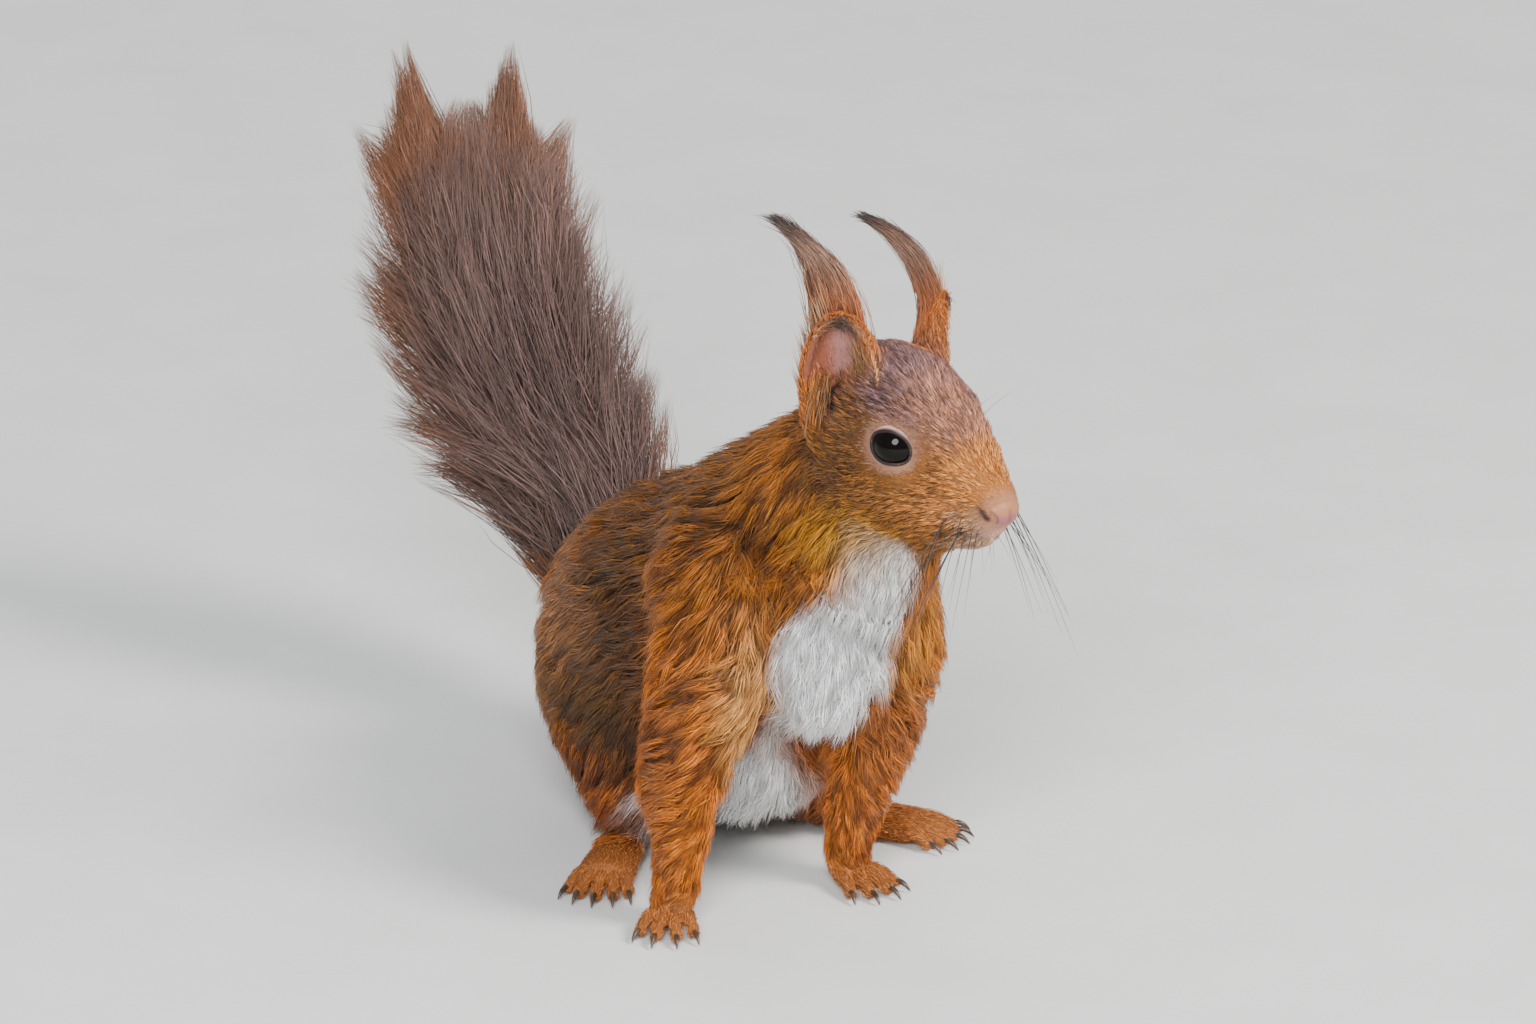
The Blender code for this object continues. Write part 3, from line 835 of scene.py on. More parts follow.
@dataclass
class Skin:
    """One skin under the whole coat, drawn in from the solids by the coat's depth."""

    anatomy: Anatomy
    palette: Palette
    voxel: float = 0.7
    kept: float = 0.66
    swell: float = 0.3
    rounds: int = 7
    # How far the regions blend, how many points are taken as samples and how many are blended at once.
    blend: float = 3.6
    sample_step: int = 70
    block: int = 8000
    # How near to a solid a sample belongs to it, and how far round a wrist is eased, in metres.
    near_solid: float = 0.004
    near_wrist: float = 0.009
    wrist_rounds: int = 14
    # How far past their roots the toes are cut off.
    toe_cut: float = 1.2
    # How high the skin stands off the ball at the lids, and how far it sinks behind the opening.
    lid_rise: float = 0.22
    eye_sink: float = 0.75
    muzzle: Triple = (0.0, 4.0, -1.6)
    # Shares of a toe's length, lift off the floor and radius.
    toe: tuple[Triple, ...] = (
        (-0.2, 2.6, 2.1),
        (0.25, 3.3, 1.95),
        (0.55, 2.9, 1.65),
        (0.8, 1.95, 1.6),
        (0.96, 1.6, 1.45),
        (1.05, 1.4, 0.8),
    )
    wrists: tuple[tuple[Station, ...], ...] = (
        ((-17.9, -45, 20, 6.1), (-18.1, -44.2, 12, 5.4), (-18.6, -43.5, 6.5, 4.9), (-20.3, -46.5, 4.2, 3.8)),
        ((26, -35, 19, 6.4), (24.9, -34.2, 12, 5.6), (24.6, -33.8, 6.5, 5.0), (25.4, -37, 4.2, 3.8)),
    )
    core: tuple[Station, ...] = (
        (5, 50, 33, 12.0), (5, 62, 38, 8.0), (5, 70, 44, 6.0), (4, 79, 54, 5.0), (-2, 88, 66, 4.4),
        (-7, 96, 82, 3.8), (-10, 101, 98, 3.0), (-11, 105, 113, 1.8),
    )
    places: Array = field(init=False)
    normals: Array = field(init=False)
    shares: Array = field(init=False)
    flow: Array = field(init=False)
    colours: Array = field(init=False)
    corners: Array = field(init=False)
    patches: Array = field(init=False)

    def region_of(self, node: str) -> Region:
        """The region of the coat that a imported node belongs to."""
        for region in Region:
            if node.startswith(region.value):
                return region
        return Region.FOOT if "foot" in node else Region.CORE

    def flesh(self) -> list[str]:
        """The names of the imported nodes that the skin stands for."""
        apart = ("eye", "nose", "ear_tuft", "tail")
        return sorted(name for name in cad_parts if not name.startswith(apart))

    def build(self) -> None:
        """Melts the flesh into one form, marks its regions and draws it in under the coat."""
        mesh = self.melted()
        self.places = self.anatomy.own(rows_of(mesh.vertices, "co"))
        self.normals = rows_of(mesh.vertex_normals, "vector")
        self.shares = self.region_shares()
        depth = self.shares @ np.array([COATS[region].depth for region in Region])
        depth *= self.away_from_eyes(6.4, 12.0)
        nose = np.linalg.norm(self.anatomy.to_head(self.places) - np.array(self.muzzle), axis=1)
        depth *= 0.3 + 0.7 * smooth_step((nose - 4.0) / 6.0)
        self.places -= self.normals * depth[:, None]
        self.seat_eyes()
        mesh.vertices.foreach_set("co", self.anatomy.world(self.places).astype(np.float32).ravel())
        mesh.update()
        self.normals = rows_of(mesh.vertex_normals, "vector")
        self.corners, loops = triangles_of(mesh)
        base = self.shares @ np.array([BASE_COLOURS[region] for region in Region])
        on_leg = self.share(Region.UPPER_ARM) + self.share(Region.FOREARM)
        self.colours = self.palette.paint(self.places, base, self.share(Region.EAR), on_leg)
        self.flow = self.lie()
        self.unwrap(mesh)
        self.patches = self.read_patches(mesh, loops)
        # The skin takes the coat's colours darkened, as painted shade at the bottom of the coat; white parts
        # are darkened less.
        pale = smooth_step(self.colours.min(axis=1) / 0.6)[:, None]
        colour_in(mesh, self.colours * (0.5 + 0.4 * pale))
        mesh.shade_smooth()
        mesh.materials.append(SkinFinish().material())
        piece("skin", mesh, tuple(self.flesh()))

    def share(self, region: Region) -> Array:
        """How far each point of the skin belongs to a region."""
        return self.shares[:, list(Region).index(region)]

    @cached_property
    def tree(self) -> BVHTree:
        """The finished skin's surface, for finding the nearest place on it."""
        return BVHTree.FromPolygons(self.places.tolist(), self.corners.tolist())

    def laid(self, places: Array, height: Array) -> Array:
        """Sets places down on the skin, each at its own height over it.

        Args:
            places: Rows of x, y and z in the animal's frame.
            height: How high over the skin each ends up.

        Returns:
            The new places.
        """
        found = [self.tree.find_nearest(place) for place in places.tolist()]
        on = np.array([hit[0] for hit in found])
        face = np.fromiter((hit[2] for hit in found), int, len(found))
        return on + unit(self.normals[self.corners[face]].mean(axis=1)) * height[:, None]

    def seat_eyes(self) -> None:
        """Draws the skin in under each eye's opening and brings it up to the lids round it."""
        radius = self.anatomy.ball_radius
        for side in Side:
            eye = Eye(self.anatomy, side)
            past, reach = eye.past(self.places)
            ease = smooth_step(past / 0.55)
            rim = radius + self.lid_rise
            wanted = np.where(past < 0.0, radius - self.eye_sink, rim + (reach - rim) * ease)
            change = np.where((reach < 14.0) & (past < 0.6), wanted / np.maximum(reach, 1e-6), 1.0)
            middle = eye.middle()
            self.places = middle + (self.places - middle) * change[:, None]

    def melted(self) -> Mesh:
        """Joins copies of the flesh nodes and the core of the tail into one closed form.

        Returns:
            The mesh, in the world's metres.
        """
        joined = bmesh.new()
        for name in [*self.flesh(), "nose"]:
            one = bmesh.new()
            one.from_mesh(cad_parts[name].data)
            bmesh.ops.remove_doubles(one, verts=one.verts, dist=0.000002)
            self.without_toes(one, name)
            one.normal_update()
            for vertex in one.verts:
                vertex.co += vertex.normal * self.swell * MM
            swollen = mesh_from(one, "swollen")
            joined.from_mesh(swollen)
            bpy.data.meshes.remove(swollen)
        for line, steps in ((self.core, 28), (self.wrists[0], 12), (self.wrists[1], 12)):
            tube_into(joined, self.anatomy.placed(line), steps, 20)
        form = linked("flesh", mesh_from(joined, "flesh"))
        remesh = form.modifiers.new("melt", "REMESH")
        remesh.mode = "VOXEL"
        remesh.voxel_size = self.voxel * MM
        smooth = form.modifiers.new("smooth", "SMOOTH")
        smooth.factor = 0.5
        smooth.iterations = self.rounds
        fewer = form.modifiers.new("fewer", "DECIMATE")
        fewer.ratio = self.kept
        melted = baked(form)
        self.keep_outer(melted)
        self.finish(melted)
        return melted

    def without_toes(self, shape: Shape, name: str) -> None:
        """Cuts the toes off a copy of a foot, which are then drawn finer.

        Args:
            shape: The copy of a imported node.
            name: The node's name.
        """
        for foot, heel, toe, *_ in self.anatomy.feet:
            if foot != name:
                continue
            reach = np.array(toe) - np.array(heel)
            length = float(np.linalg.norm(reach))
            ahead = reach / length
            middle = np.array(heel) + ahead * (length - self.anatomy.toe_length + self.toe_cut)
            bmesh.ops.bisect_plane(
                shape,
                geom=shape.verts[:] + shape.edges[:] + shape.faces[:],
                plane_co=Vector(self.anatomy.world(np.array([*middle, 0.0]))),
                plane_no=Vector((*ahead, 0.0)),
                clear_outer=True,
            )
            bmesh.ops.holes_fill(shape, edges=[edge for edge in shape.edges if edge.is_boundary], sides=0)

    def finish(self, mesh: Mesh) -> None:
        """Eases the wrists and sets the toes into the feet.

        Args:
            mesh: The melted form.
        """
        shape = bmesh.new()
        shape.from_mesh(mesh)
        for line in self.wrists:
            middle = Vector(self.anatomy.world(np.array(line[2][:3])))
            near = [vertex for vertex in shape.verts if (vertex.co - middle).length < self.near_wrist]
            for _ in range(self.wrist_rounds):
                bmesh.ops.smooth_vert(
                    shape, verts=near, factor=0.5, use_axis_x=True, use_axis_y=True, use_axis_z=True
                )
        toes = bmesh.new()
        for _, heel, toe, width, count in self.anatomy.feet:
            for one in self.anatomy.toes(heel, toe, width, count):
                tube_into(toes, self.anatomy.placed(one.line(self.toe)), 16, 12)
        bmesh.ops.triangulate(toes, faces=[face for face in toes.faces if len(face.verts) > 4])
        bmesh.ops.recalc_face_normals(toes, faces=toes.faces)
        drawn = mesh_from(toes, "toes")
        shape.from_mesh(drawn)
        bpy.data.meshes.remove(drawn)
        shape.to_mesh(mesh)
        shape.free()

    @staticmethod
    def keep_outer(mesh: Mesh) -> None:
        """Removes the bubbles that melting may leave inside the form."""
        shape = bmesh.new()
        shape.from_mesh(mesh)
        shape.verts.ensure_lookup_table()
        seen = np.zeros(len(shape.verts), bool)
        bodies = []
        for start in shape.verts:
            if seen[start.index]:
                continue
            seen[start.index] = True
            body, stack = [start], [start]
            while stack:
                for edge in stack.pop().link_edges:
                    for other in edge.verts:
                        if not seen[other.index]:
                            seen[other.index] = True
                            body.append(other)
                            stack.append(other)
            bodies.append(body)
        for body in sorted(bodies, key=len)[:-1]:
            bmesh.ops.delete(shape, geom=body, context="VERTS")
        shape.to_mesh(mesh)
        shape.free()

    def region_shares(self) -> Array:
        """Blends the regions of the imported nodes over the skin.

        Returns:
            A row for each point of the skin with its share of each region.
        """
        points: list[Vector] = []
        faces: list[tuple[int, ...]] = []
        owners: list[int] = []
        order = list(Region)
        for name in self.flesh():
            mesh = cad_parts[name].data
            first = len(points)
            points += [vertex.co.copy() for vertex in mesh.vertices]
            faces += [tuple(first + index for index in face.vertices) for face in mesh.polygons]
            owners += [order.index(self.region_of(name))] * len(mesh.polygons)
        tree = BVHTree.FromPolygons(points, faces)
        samples = np.arange(0, len(self.places), self.sample_step)
        spots = self.anatomy.world(self.places[samples])
        labels = np.zeros((len(samples), len(order)), np.float32)
        for row, spot in enumerate(spots):
            _, _, index, distance = tree.find_nearest(Vector(spot))
            owner = owners[index] if distance < self.near_solid else order.index(Region.CORE)
            labels[row, owner] = 1.0
        known = self.places[samples].astype(np.float32)
        shares = np.empty((len(self.places), len(order)))
        for start in range(0, len(self.places), self.block):
            block = self.places[start : start + self.block].astype(np.float32)
            gap = (block**2).sum(1)[:, None] + (known**2).sum(1)[None, :] - 2.0 * block @ known.T
            weight = np.exp(gap * np.float32(-0.5 / self.blend**2)) + np.float32(1e-12)
            shares[start : start + self.block] = (weight @ labels) / weight.sum(1)[:, None]
        return shares

    def away_from_eyes(self, inner: float, outer: float) -> Array:
        """Eases from 0 at the eyes to 1 away from them.

        Args:
            inner: Distance from an eye's middle where it is still 0.
            outer: Distance where it is 1.

        Returns:
            A share for each point of the skin.
        """
        in_head = self.anatomy.to_head(self.places)
        share = np.ones(len(in_head))
        for side in Side:
            eye = np.array(self.anatomy.mirrored(self.anatomy.ball_place, side))
            gap = np.linalg.norm(in_head - eye, axis=1)
            share *= smooth_step((gap - inner) / (outer - inner))
        return share

    def along_line(self, stations: tuple[Station, ...]) -> Array:
        """Reads the direction of a line at the nearest point of it to each point of the skin."""
        line = along(stations, np.linspace(0.0, 1.0, 48))[:, :3]
        ahead = unit(np.gradient(line, axis=0))
        return ahead[nearest_on(line, self.places)[0]]

    def lie(self) -> Array:
        """Finds which way the coat lies at each point of the skin.

        Returns:
            Unit directions along the skin.
        """
        count = len(self.places)
        in_head = self.anatomy.to_head(self.places)
        from_nose = in_head - np.array([0.0, -6.0, 0.0])
        head = unit(from_nose) @ self.anatomy.head_axes + np.array([0.0, 0.0, -0.12])
        on_right = self.places[:, 0] < 8.0
        leg = np.where(
            on_right[:, None],
            self.along_line(self.anatomy.foreleg_right),
            self.along_line(self.anatomy.foreleg_left),
        )
        outward = np.where(on_right[:, None], np.array([-1.0, 0.7, -0.2]), np.array([1.0, 0.7, -0.2]))
        lower = smooth_step((24.0 - self.places[:, 2]) / 14.0)[:, None]
        foot = np.zeros((count, 3))
        nearest = np.full(count, np.inf)
        for _, heel, toe, *_ in self.anatomy.feet:
            middle = (np.array(heel) + np.array(toe)) / 2
            gap = np.linalg.norm(self.places[:, :2] - middle, axis=1)
            closer = gap < nearest
            nearest[closer] = gap[closer]
            foot[closer, :2] = np.array(toe) - np.array(heel)
        front = smooth_step((-34.0 - self.places[:, 1]) / 14.0)[:, None]
        down = np.array([0.0, 0.0, -1.0])
        trunk = self.along_line(self.anatomy.trunk) * (1.0 - 0.8 * front) + down * (0.45 + 0.8 * front)
        flows = {
            Region.HEAD: head,
            Region.EAR: self.ear_lie(),
            Region.NECK: self.along_line(self.anatomy.neck) + down * (0.35 + front),
            Region.TRUNK: trunk,
            Region.THIGH: np.tile((0.0, 0.55, -0.85), (count, 1)),
            Region.UPPER_ARM: leg * np.where(on_right, 0.3, 0.9)[:, None] + outward,
            Region.FOREARM: leg * (np.where(on_right, 0.4, 0.8)[:, None] + lower)
            + outward * (1.0 - 0.7 * lower),
            Region.FOOT: unit(foot),
            Region.CORE: self.along_line(self.core),
        }
        blended = np.zeros((count, 3))
        for column, region in enumerate(Region):
            blended += unit(flows[region]) * self.shares[:, column : column + 1]
        loose = self.shares @ np.array([COATS[region].wave for region in Region])
        blended += wander(self.places, 19.0, 3, 3) * (0.08 + 0.16 * loose)[:, None]
        blended += wander(self.places, 6.5, 4, 3) * (0.04 + 0.10 * loose)[:, None]
        blended -= self.normals * (blended * self.normals).sum(1)[:, None]
        return unit(blended)

    def ear_lie(self) -> Array:
        """Finds how the hair of the ears lies: up their backs, and out over their rims."""
        found = np.tile((0.0, 0.15, 1.0), (len(self.places), 1))
        for ear in EARS:
            _, rows = ear.axes(self.anatomy)
            local = ear.local(self.anatomy, self.places)
            reach = local / np.array(ear.half)
            near = np.linalg.norm(reach, axis=1) < 1.5
            outward = unit(local * np.array([1.0, 0.0, 0.35]) + np.array([0.0, 0.0, 12.0]))
            turned = outward @ rows
            found = np.where(near[:, None], turned, found)
        return found

    def unwrap(self, mesh: Mesh) -> None:
        """Unwraps the skin's own shape as the map that skin and coat share."""
        mesh.uv_layers.new(name=COAT_MAP)
        obj = linked("unwrapped", mesh)
        bpy.context.view_layer.objects.active = obj
        obj.select_set(True)
        bpy.ops.object.mode_set(mode="EDIT")
        bpy.ops.mesh.select_all(action="SELECT")
        bpy.ops.uv.smart_project(angle_limit=math.radians(66), island_margin=0.002)
        bpy.ops.object.mode_set(mode="OBJECT")
        bpy.data.objects.remove(obj, do_unlink=True)

    @staticmethod
    def read_patches(mesh: Mesh, loops: Array) -> Array:
        """The map's places at the three corners of each triangle."""
        rows = np.empty(len(mesh.loops) * 2, np.float32)
        mesh.uv_layers[COAT_MAP].data.foreach_get("uv", rows)
        return rows.reshape(-1, 2)[loops].astype(float)


# ---- Coat ----


@dataclass
class Roots:
    """Where tufts grow, with what each needs to know of the skin there."""

    places: Array
    normals: Array
    flow: Array
    colours: Array
    shares: Array
    patches: Array

    @cached_property
    def pale(self) -> Array:
        """How near to white each root is."""
        return smooth_step(self.colours.min(axis=1) / 0.5)


@dataclass
class Locks:
    """For each tuft, the lock it belongs to."""

    leader: Array
    edge: Array
    bend: Array
    tint: Array


@dataclass
class Fleece:
    """The short coat: thin leaves of hair that overlap and lie back along the body."""

    skin: Skin
    seed: int = 7
    patch: float = 0.0015
    most: int = 32000
    # How much longer than wide a lock is, and how many leaders each tuft chooses from.
    slender: float = 2.2
    choices: int = 6
    # Where the brush takes over from the coat, and the middle of the nose in the head's frame.
    tail_starts: float = 74.0
    nose: Triple = (0.0, 4.0, -1.9)

    def build(self) -> None:
        """Grows the coat and joins it into pieces by region."""
        roots = self.sow()
        rng = np.random.default_rng(self.seed + 1)
        locks = self.gathered(roots, rng)
        length = self.value(roots, "length") * self.trim(roots.places)
        length *= rng.uniform(0.72, 1.22, len(roots.places))
        points = self.shaped(roots, locks, length * (1.0 - 0.22 * locks.edge), rng)
        shade = self.shaded(roots, locks, rng)
        owner = self.owners(roots)
        for name, slot in PIECES.items():
            chosen = np.flatnonzero(owner == list(PIECES).index(name))
            parts = max(1, math.ceil(len(chosen) / self.most))
            chosen = chosen[np.argsort(roots.places[chosen, 1], kind="stable")]
            for number, rows in enumerate(np.array_split(chosen, parts)):
                if not len(rows):
                    continue
                label = f"coat_{name}" + (f"_{number + 1}" if parts > 1 else "")
                self.join(label, points[rows], shade[rows], roots.patches[rows])

    def value(self, roots: Roots, name: str) -> Array:
        """Blends one of the coat's numbers over the regions."""
        return roots.shares @ np.array([getattr(COATS[region], name) for region in Region])

    def sow(self) -> Roots:
        """Spreads roots evenly over the skin, as thick as each region's coat asks.

        Returns:
            The roots, without those on bare places.
        """
        skin = self.skin
        corners = skin.corners
        a, b, c = (skin.places[corners[:, i]] for i in range(3))
        area = np.linalg.norm(np.cross(b - a, c - a), axis=1) / 2
        density = skin.shares @ np.array([COATS[region].density for region in Region])
        density = density * self.bare(skin.places, skin.normals)
        total = np.cumsum(area * density[corners].mean(1))
        rng = np.random.default_rng(self.seed)
        count = int(total[-1])
        ticks = (np.arange(count) + rng.random(count)) / count * total[-1]
        face = np.minimum(np.searchsorted(total, ticks), len(corners) - 1)
        weight = triangle_weights(count, rng)

        def blended(values: Array) -> Array:
            """Reads values of the skin's points at each root."""
            return np.einsum("ij,ijk->ik", weight, values[corners[face]])

        patches = np.einsum("ij,ijk->ik", weight, skin.patches[face])
        return Roots(
            blended(skin.places),
            unit(blended(skin.normals)),
            unit(blended(skin.flow)),
            blended(skin.colours),
            blended(skin.shares),
            patches,
        )

    def bare(self, places: Array, normals: Array) -> Array:
        """How much of the coat grows at a place, from 0 on bare skin to 1.

        Args:
            places: Places in the animal's frame.
            normals: The skin's outward directions there.

        Returns:
            A share for each place.
        """
        anatomy = self.skin.anatomy
        in_head = anatomy.to_head(places)
        share = smooth_step((places[:, 2] - 0.3) / 0.8)
        for side in Side:
            past, reach = Eye(anatomy, side).past(places)
            share *= (past > 0.2) | (reach > 12.0)
        nose = np.linalg.norm((in_head - np.array(self.nose)) / np.array([4.1, 2.7, 3.1]), axis=1)
        share *= smooth_step((nose - 0.98) / 0.25)
        for ear in EARS:
            local = ear.local(anatomy, places)
            share *= 1.0 - np.maximum(ear.cup(local) * 0.94, ear.canal(local))
        under = smooth_step((-normals[:, 2] - 0.5) / 0.4)
        low = smooth_step((26.0 - places[:, 2]) / 8.0)
        share *= 1.0 - 0.45 * under * low
        return np.where(places[:, 1] > self.tail_starts, 0.0, share)

    def trim(self, places: Array) -> Array:
        """How long the coat is at a place, as a share of its region's length."""
        anatomy = self.skin.anatomy
        in_head = anatomy.to_head(places)
        on_head = smooth_step((46.0 - in_head[:, 1]) / 8.0)
        on_head *= smooth_step((24.0 - np.abs(in_head[:, 2])) / 8.0)
        back = np.interp(in_head[:, 1], [0.0, 8.0, 22.0, 40.0, 52.0], [0.42, 0.55, 0.85, 1.2, 1.5])
        share = 1.0 + (back - 1.0) * on_head
        for side in Side:
            past, reach = Eye(anatomy, side).past(places)
            share *= 0.32 + 0.68 * smooth_step(np.maximum(past - 0.2, (reach - 9.0) / 5.0) / 0.7)
        nose = np.linalg.norm(in_head - np.array(self.nose), axis=1)
        share *= 0.4 + 0.6 * smooth_step((nose - 3.5) / 5.0)
        for ear in EARS:
            local = ear.local(anatomy, places)
            out = np.linalg.norm(local[:, [0, 2]] / np.array([ear.half[0], ear.half[2]]), axis=1)
            rim = (np.abs(out - 1.0) < 0.14) & (local[:, 2] > -6.0)
            share = np.where(rim & (local[:, 1] > -2.5) & (local[:, 1] < 3.0), 1.1, share)
        return share

    def gathered(self, roots: Roots, rng: Generator) -> Locks:
        """Gathers tufts that grow near each other into locks.

        Args:
            roots: Where the tufts grow.
            rng: The source of the choice.

        Returns:
            What each tuft needs to know of its lock.
        """
        count = len(roots.places)
        spacing = self.value(roots, "lock")
        chance = 1.0 / (self.value(roots, "density") * spacing**2 * self.slender * 0.8)
        chosen = np.flatnonzero(rng.random(count) < chance)
        tree = tree_of(roots.places, chosen)
        found = (tree.find_n(place, self.choices) for place in roots.places.tolist())
        near = np.array([[row for _, row, _ in hits] for hits in found])
        gap = roots.places[near] - roots.places[:, None]
        ahead = np.einsum("ijk,ik->ij", gap, roots.flow)
        aside = np.maximum((gap**2).sum(-1) - ahead**2, 0.0)
        reach = np.sqrt(aside + (ahead / self.slender) ** 2)
        best = reach.argmin(axis=1)
        leader = near[np.arange(count), best]
        weight = self.value(roots, "clump")
        # How far each tuft lies from its lock's middle; it shortens, lowers and, as painted shade, darkens
        # the tuft.
        edge = smooth_step((reach[np.arange(count), best] / spacing - 0.3) / 0.4)
        edge *= np.minimum(weight * 1.3, 1.0)
        return Locks(
            leader,
            edge,
            rng.uniform(-1.0, 1.0, count)[leader],
            rng.normal(0.0, 1.0, (count, 2))[leader],
        )

    def shaped(self, roots: Roots, locks: Locks, length: Array, rng: Generator) -> Array:
        """Shapes each tuft as a thin leaf with a ridge that leans to its lock's tip.

        Args:
            roots: Where the tufts grow.
            locks: What each tuft knows of its lock.
            length: How long each is.
            rng: The source of the small differences between tufts.

        Returns:
            Five points for each tuft: root, left, right, ridge and tip.
        """
        count = len(roots.places)
        stray = self.value(roots, "stray")
        flow = roots.flow + rng.normal(0.0, 1.0, (count, 3)) * stray[:, None]
        flow = unit(flow - roots.normals * (flow * roots.normals).sum(1)[:, None])
        across = unit(np.cross(flow, roots.normals))
        lift = self.value(roots, "lift") * rng.uniform(0.55, 1.25, count) * (1.15 - 0.75 * locks.edge)
        bend = (locks.bend * self.value(roots, "wave") * 0.24)[:, None]
        pale = roots.pale
        sunk = roots.places - roots.normals * 0.2
        reach = length[:, None]
        middle = sunk + flow * reach * 0.45 + roots.normals * reach * (lift * 0.7)[:, None]
        tip = sunk + flow * reach + roots.normals * reach * lift[:, None]
        middle += across * reach * bend * 0.7
        tip -= across * reach * bend * 0.5
        toward = tip[locks.leader] - tip
        near = smooth_step(2.4 - np.linalg.norm(toward, axis=1) / 4.0)
        pull = self.value(roots, "clump") * rng.uniform(0.5, 1.0, count) * near
        pull = (pull * (1.0 - 0.3 * pale))[:, None]
        ahead = flow * (toward * flow).sum(1)[:, None]
        tip += (toward - ahead * 0.8) * pull
        toward = middle[locks.leader] - middle
        ahead = flow * (toward * flow).sum(1)[:, None]
        middle += (toward - ahead) * pull * 0.5
        loose = (0.12 + 0.33 * pale)[:, None]
        low_tip = self.skin.laid(tip, length * lift)
        low_middle = self.skin.laid(middle, length * lift * 0.66 + 0.05)
        tip = low_tip + (tip - low_tip) * loose
        middle = low_middle + (middle - low_middle) * loose * 0.5
        half = (self.value(roots, "width") * rng.uniform(0.7, 1.2, count) / 2)[:, None]
        half = half * (np.minimum(1.0, length / 2.4) * (1.0 - 0.25 * pale))[:, None]
        ridge = middle + roots.normals * half * 0.9
        points = np.stack([sunk, middle - across * half, middle + across * half, ridge, tip], axis=1)
        points[..., 2] = np.maximum(points[..., 2], LOWEST_HAIR)
        return points

    def shaded(self, roots: Roots, locks: Locks, rng: Generator) -> Array:
        """Colours each tuft darker at its root, partly its own colour and partly painted shade, and paler at
        its tip, with painted shade at each lock's edge and a painted highlight on its ridge; each lock is a
        little apart in tone.

        Args:
            roots: Where the tufts grow.
            locks: What each tuft knows of its lock.
            rng: The source of the small differences between tufts.

        Returns:
            A colour for each of a tuft's five points.
        """
        count = len(roots.places)
        loose = self.value(roots, "clump")
        pale = roots.pale
        tone = 1.0 + locks.tint[:, 0] * 0.24 * loose * (1.0 - 0.7 * pale)
        tone += rng.normal(0.0, 0.26, count) * (1.0 - 0.7 * pale)
        tone += np.where(rng.random(count) < 0.15, 0.7, 0.0) * (1.0 - pale)
        # Painted shade: tufts at a lock's edge are darker, as the gaps between locks would be in shade;
        # white hair much less so.
        tone *= 1.0 - 0.62 * locks.edge * (1.0 - 0.85 * pale)
        warm = locks.tint[:, 1] * 0.06 + rng.normal(0.0, 0.06, count)
        tint = 1.0 + (warm * (1.0 - pale))[:, None] * np.array([0.6, 0.0, -1.6])
        base = roots.colours * tone.clip(0.3, 2.2)[:, None] * tint
        # The dark root is partly the hair's own darker base and partly painted shade deep in the coat, less
        # on white hair.
        root, middle = 0.4 + 0.55 * pale, 0.86 + 0.14 * pale
        # The ridge, which faces out from the skin, is a tenth brighter as a painted highlight.
        steps = np.stack([root, middle, middle, middle * 1.1, 1.4 - 0.3 * pale], axis=1)
        return (base[:, None, :] * steps[:, :, None]).clip(0.0, 1.0)

    def owners(self, roots: Roots) -> Array:
        """The piece that each tuft is joined to."""
        names = list(PIECES)
        return np.array([names.index(HOMES[region]) for region in Region])[roots.shares.argmax(axis=1)]

    def join(self, name: str, points: Array, shade: Array, patches: Array) -> None:
        """Joins tufts into one piece.

        Args:
            name: The piece's name.
            points: Five points for each tuft.
            shade: Five colours for each tuft.
            patches: Each root's place on the coat's map.
        """
        leaf = np.array([(0, 2, 3), (0, 3, 1), (4, 3, 2), (4, 1, 3), (0, 1, 2), (4, 2, 1)])
        faces = (np.arange(len(points)) * 5)[:, None, None] + leaf[None]
        spread = np.array([(0.0, -1.0), (-1.0, 0.0), (1.0, 0.0), (0.0, 0.0), (0.0, 1.0)]) * self.patch
        mesh = mesh_of(
            name,
            self.skin.anatomy.world(points.reshape(-1, 3)),
            faces.reshape(-1, 3),
            shade.reshape(-1, 3),
            (patches[:, None, :] + spread[None]).reshape(-1, 2),
        )
        mesh.materials.append(FurFinish().material())
        piece(name, mesh)


# Each piece of coat with a second name, which nothing here reads, and the piece that each region is joined
# to.
PIECES: dict[str, str] = {
    "head": "crown",
    "ears": "rust",
    "neck": "rust",
    "trunk": "rust",
    "thighs": "rust",
    "forelegs": "rust",
    "feet": "foot",
}
HOMES: dict[Region, str] = {
    Region.HEAD: "head",
    Region.EAR: "ears",
    Region.NECK: "neck",
    Region.TRUNK: "trunk",
    Region.THIGH: "thighs",
    Region.UPPER_ARM: "forelegs",
    Region.FOREARM: "forelegs",
    Region.FOOT: "feet",
    Region.CORE: "trunk",
}


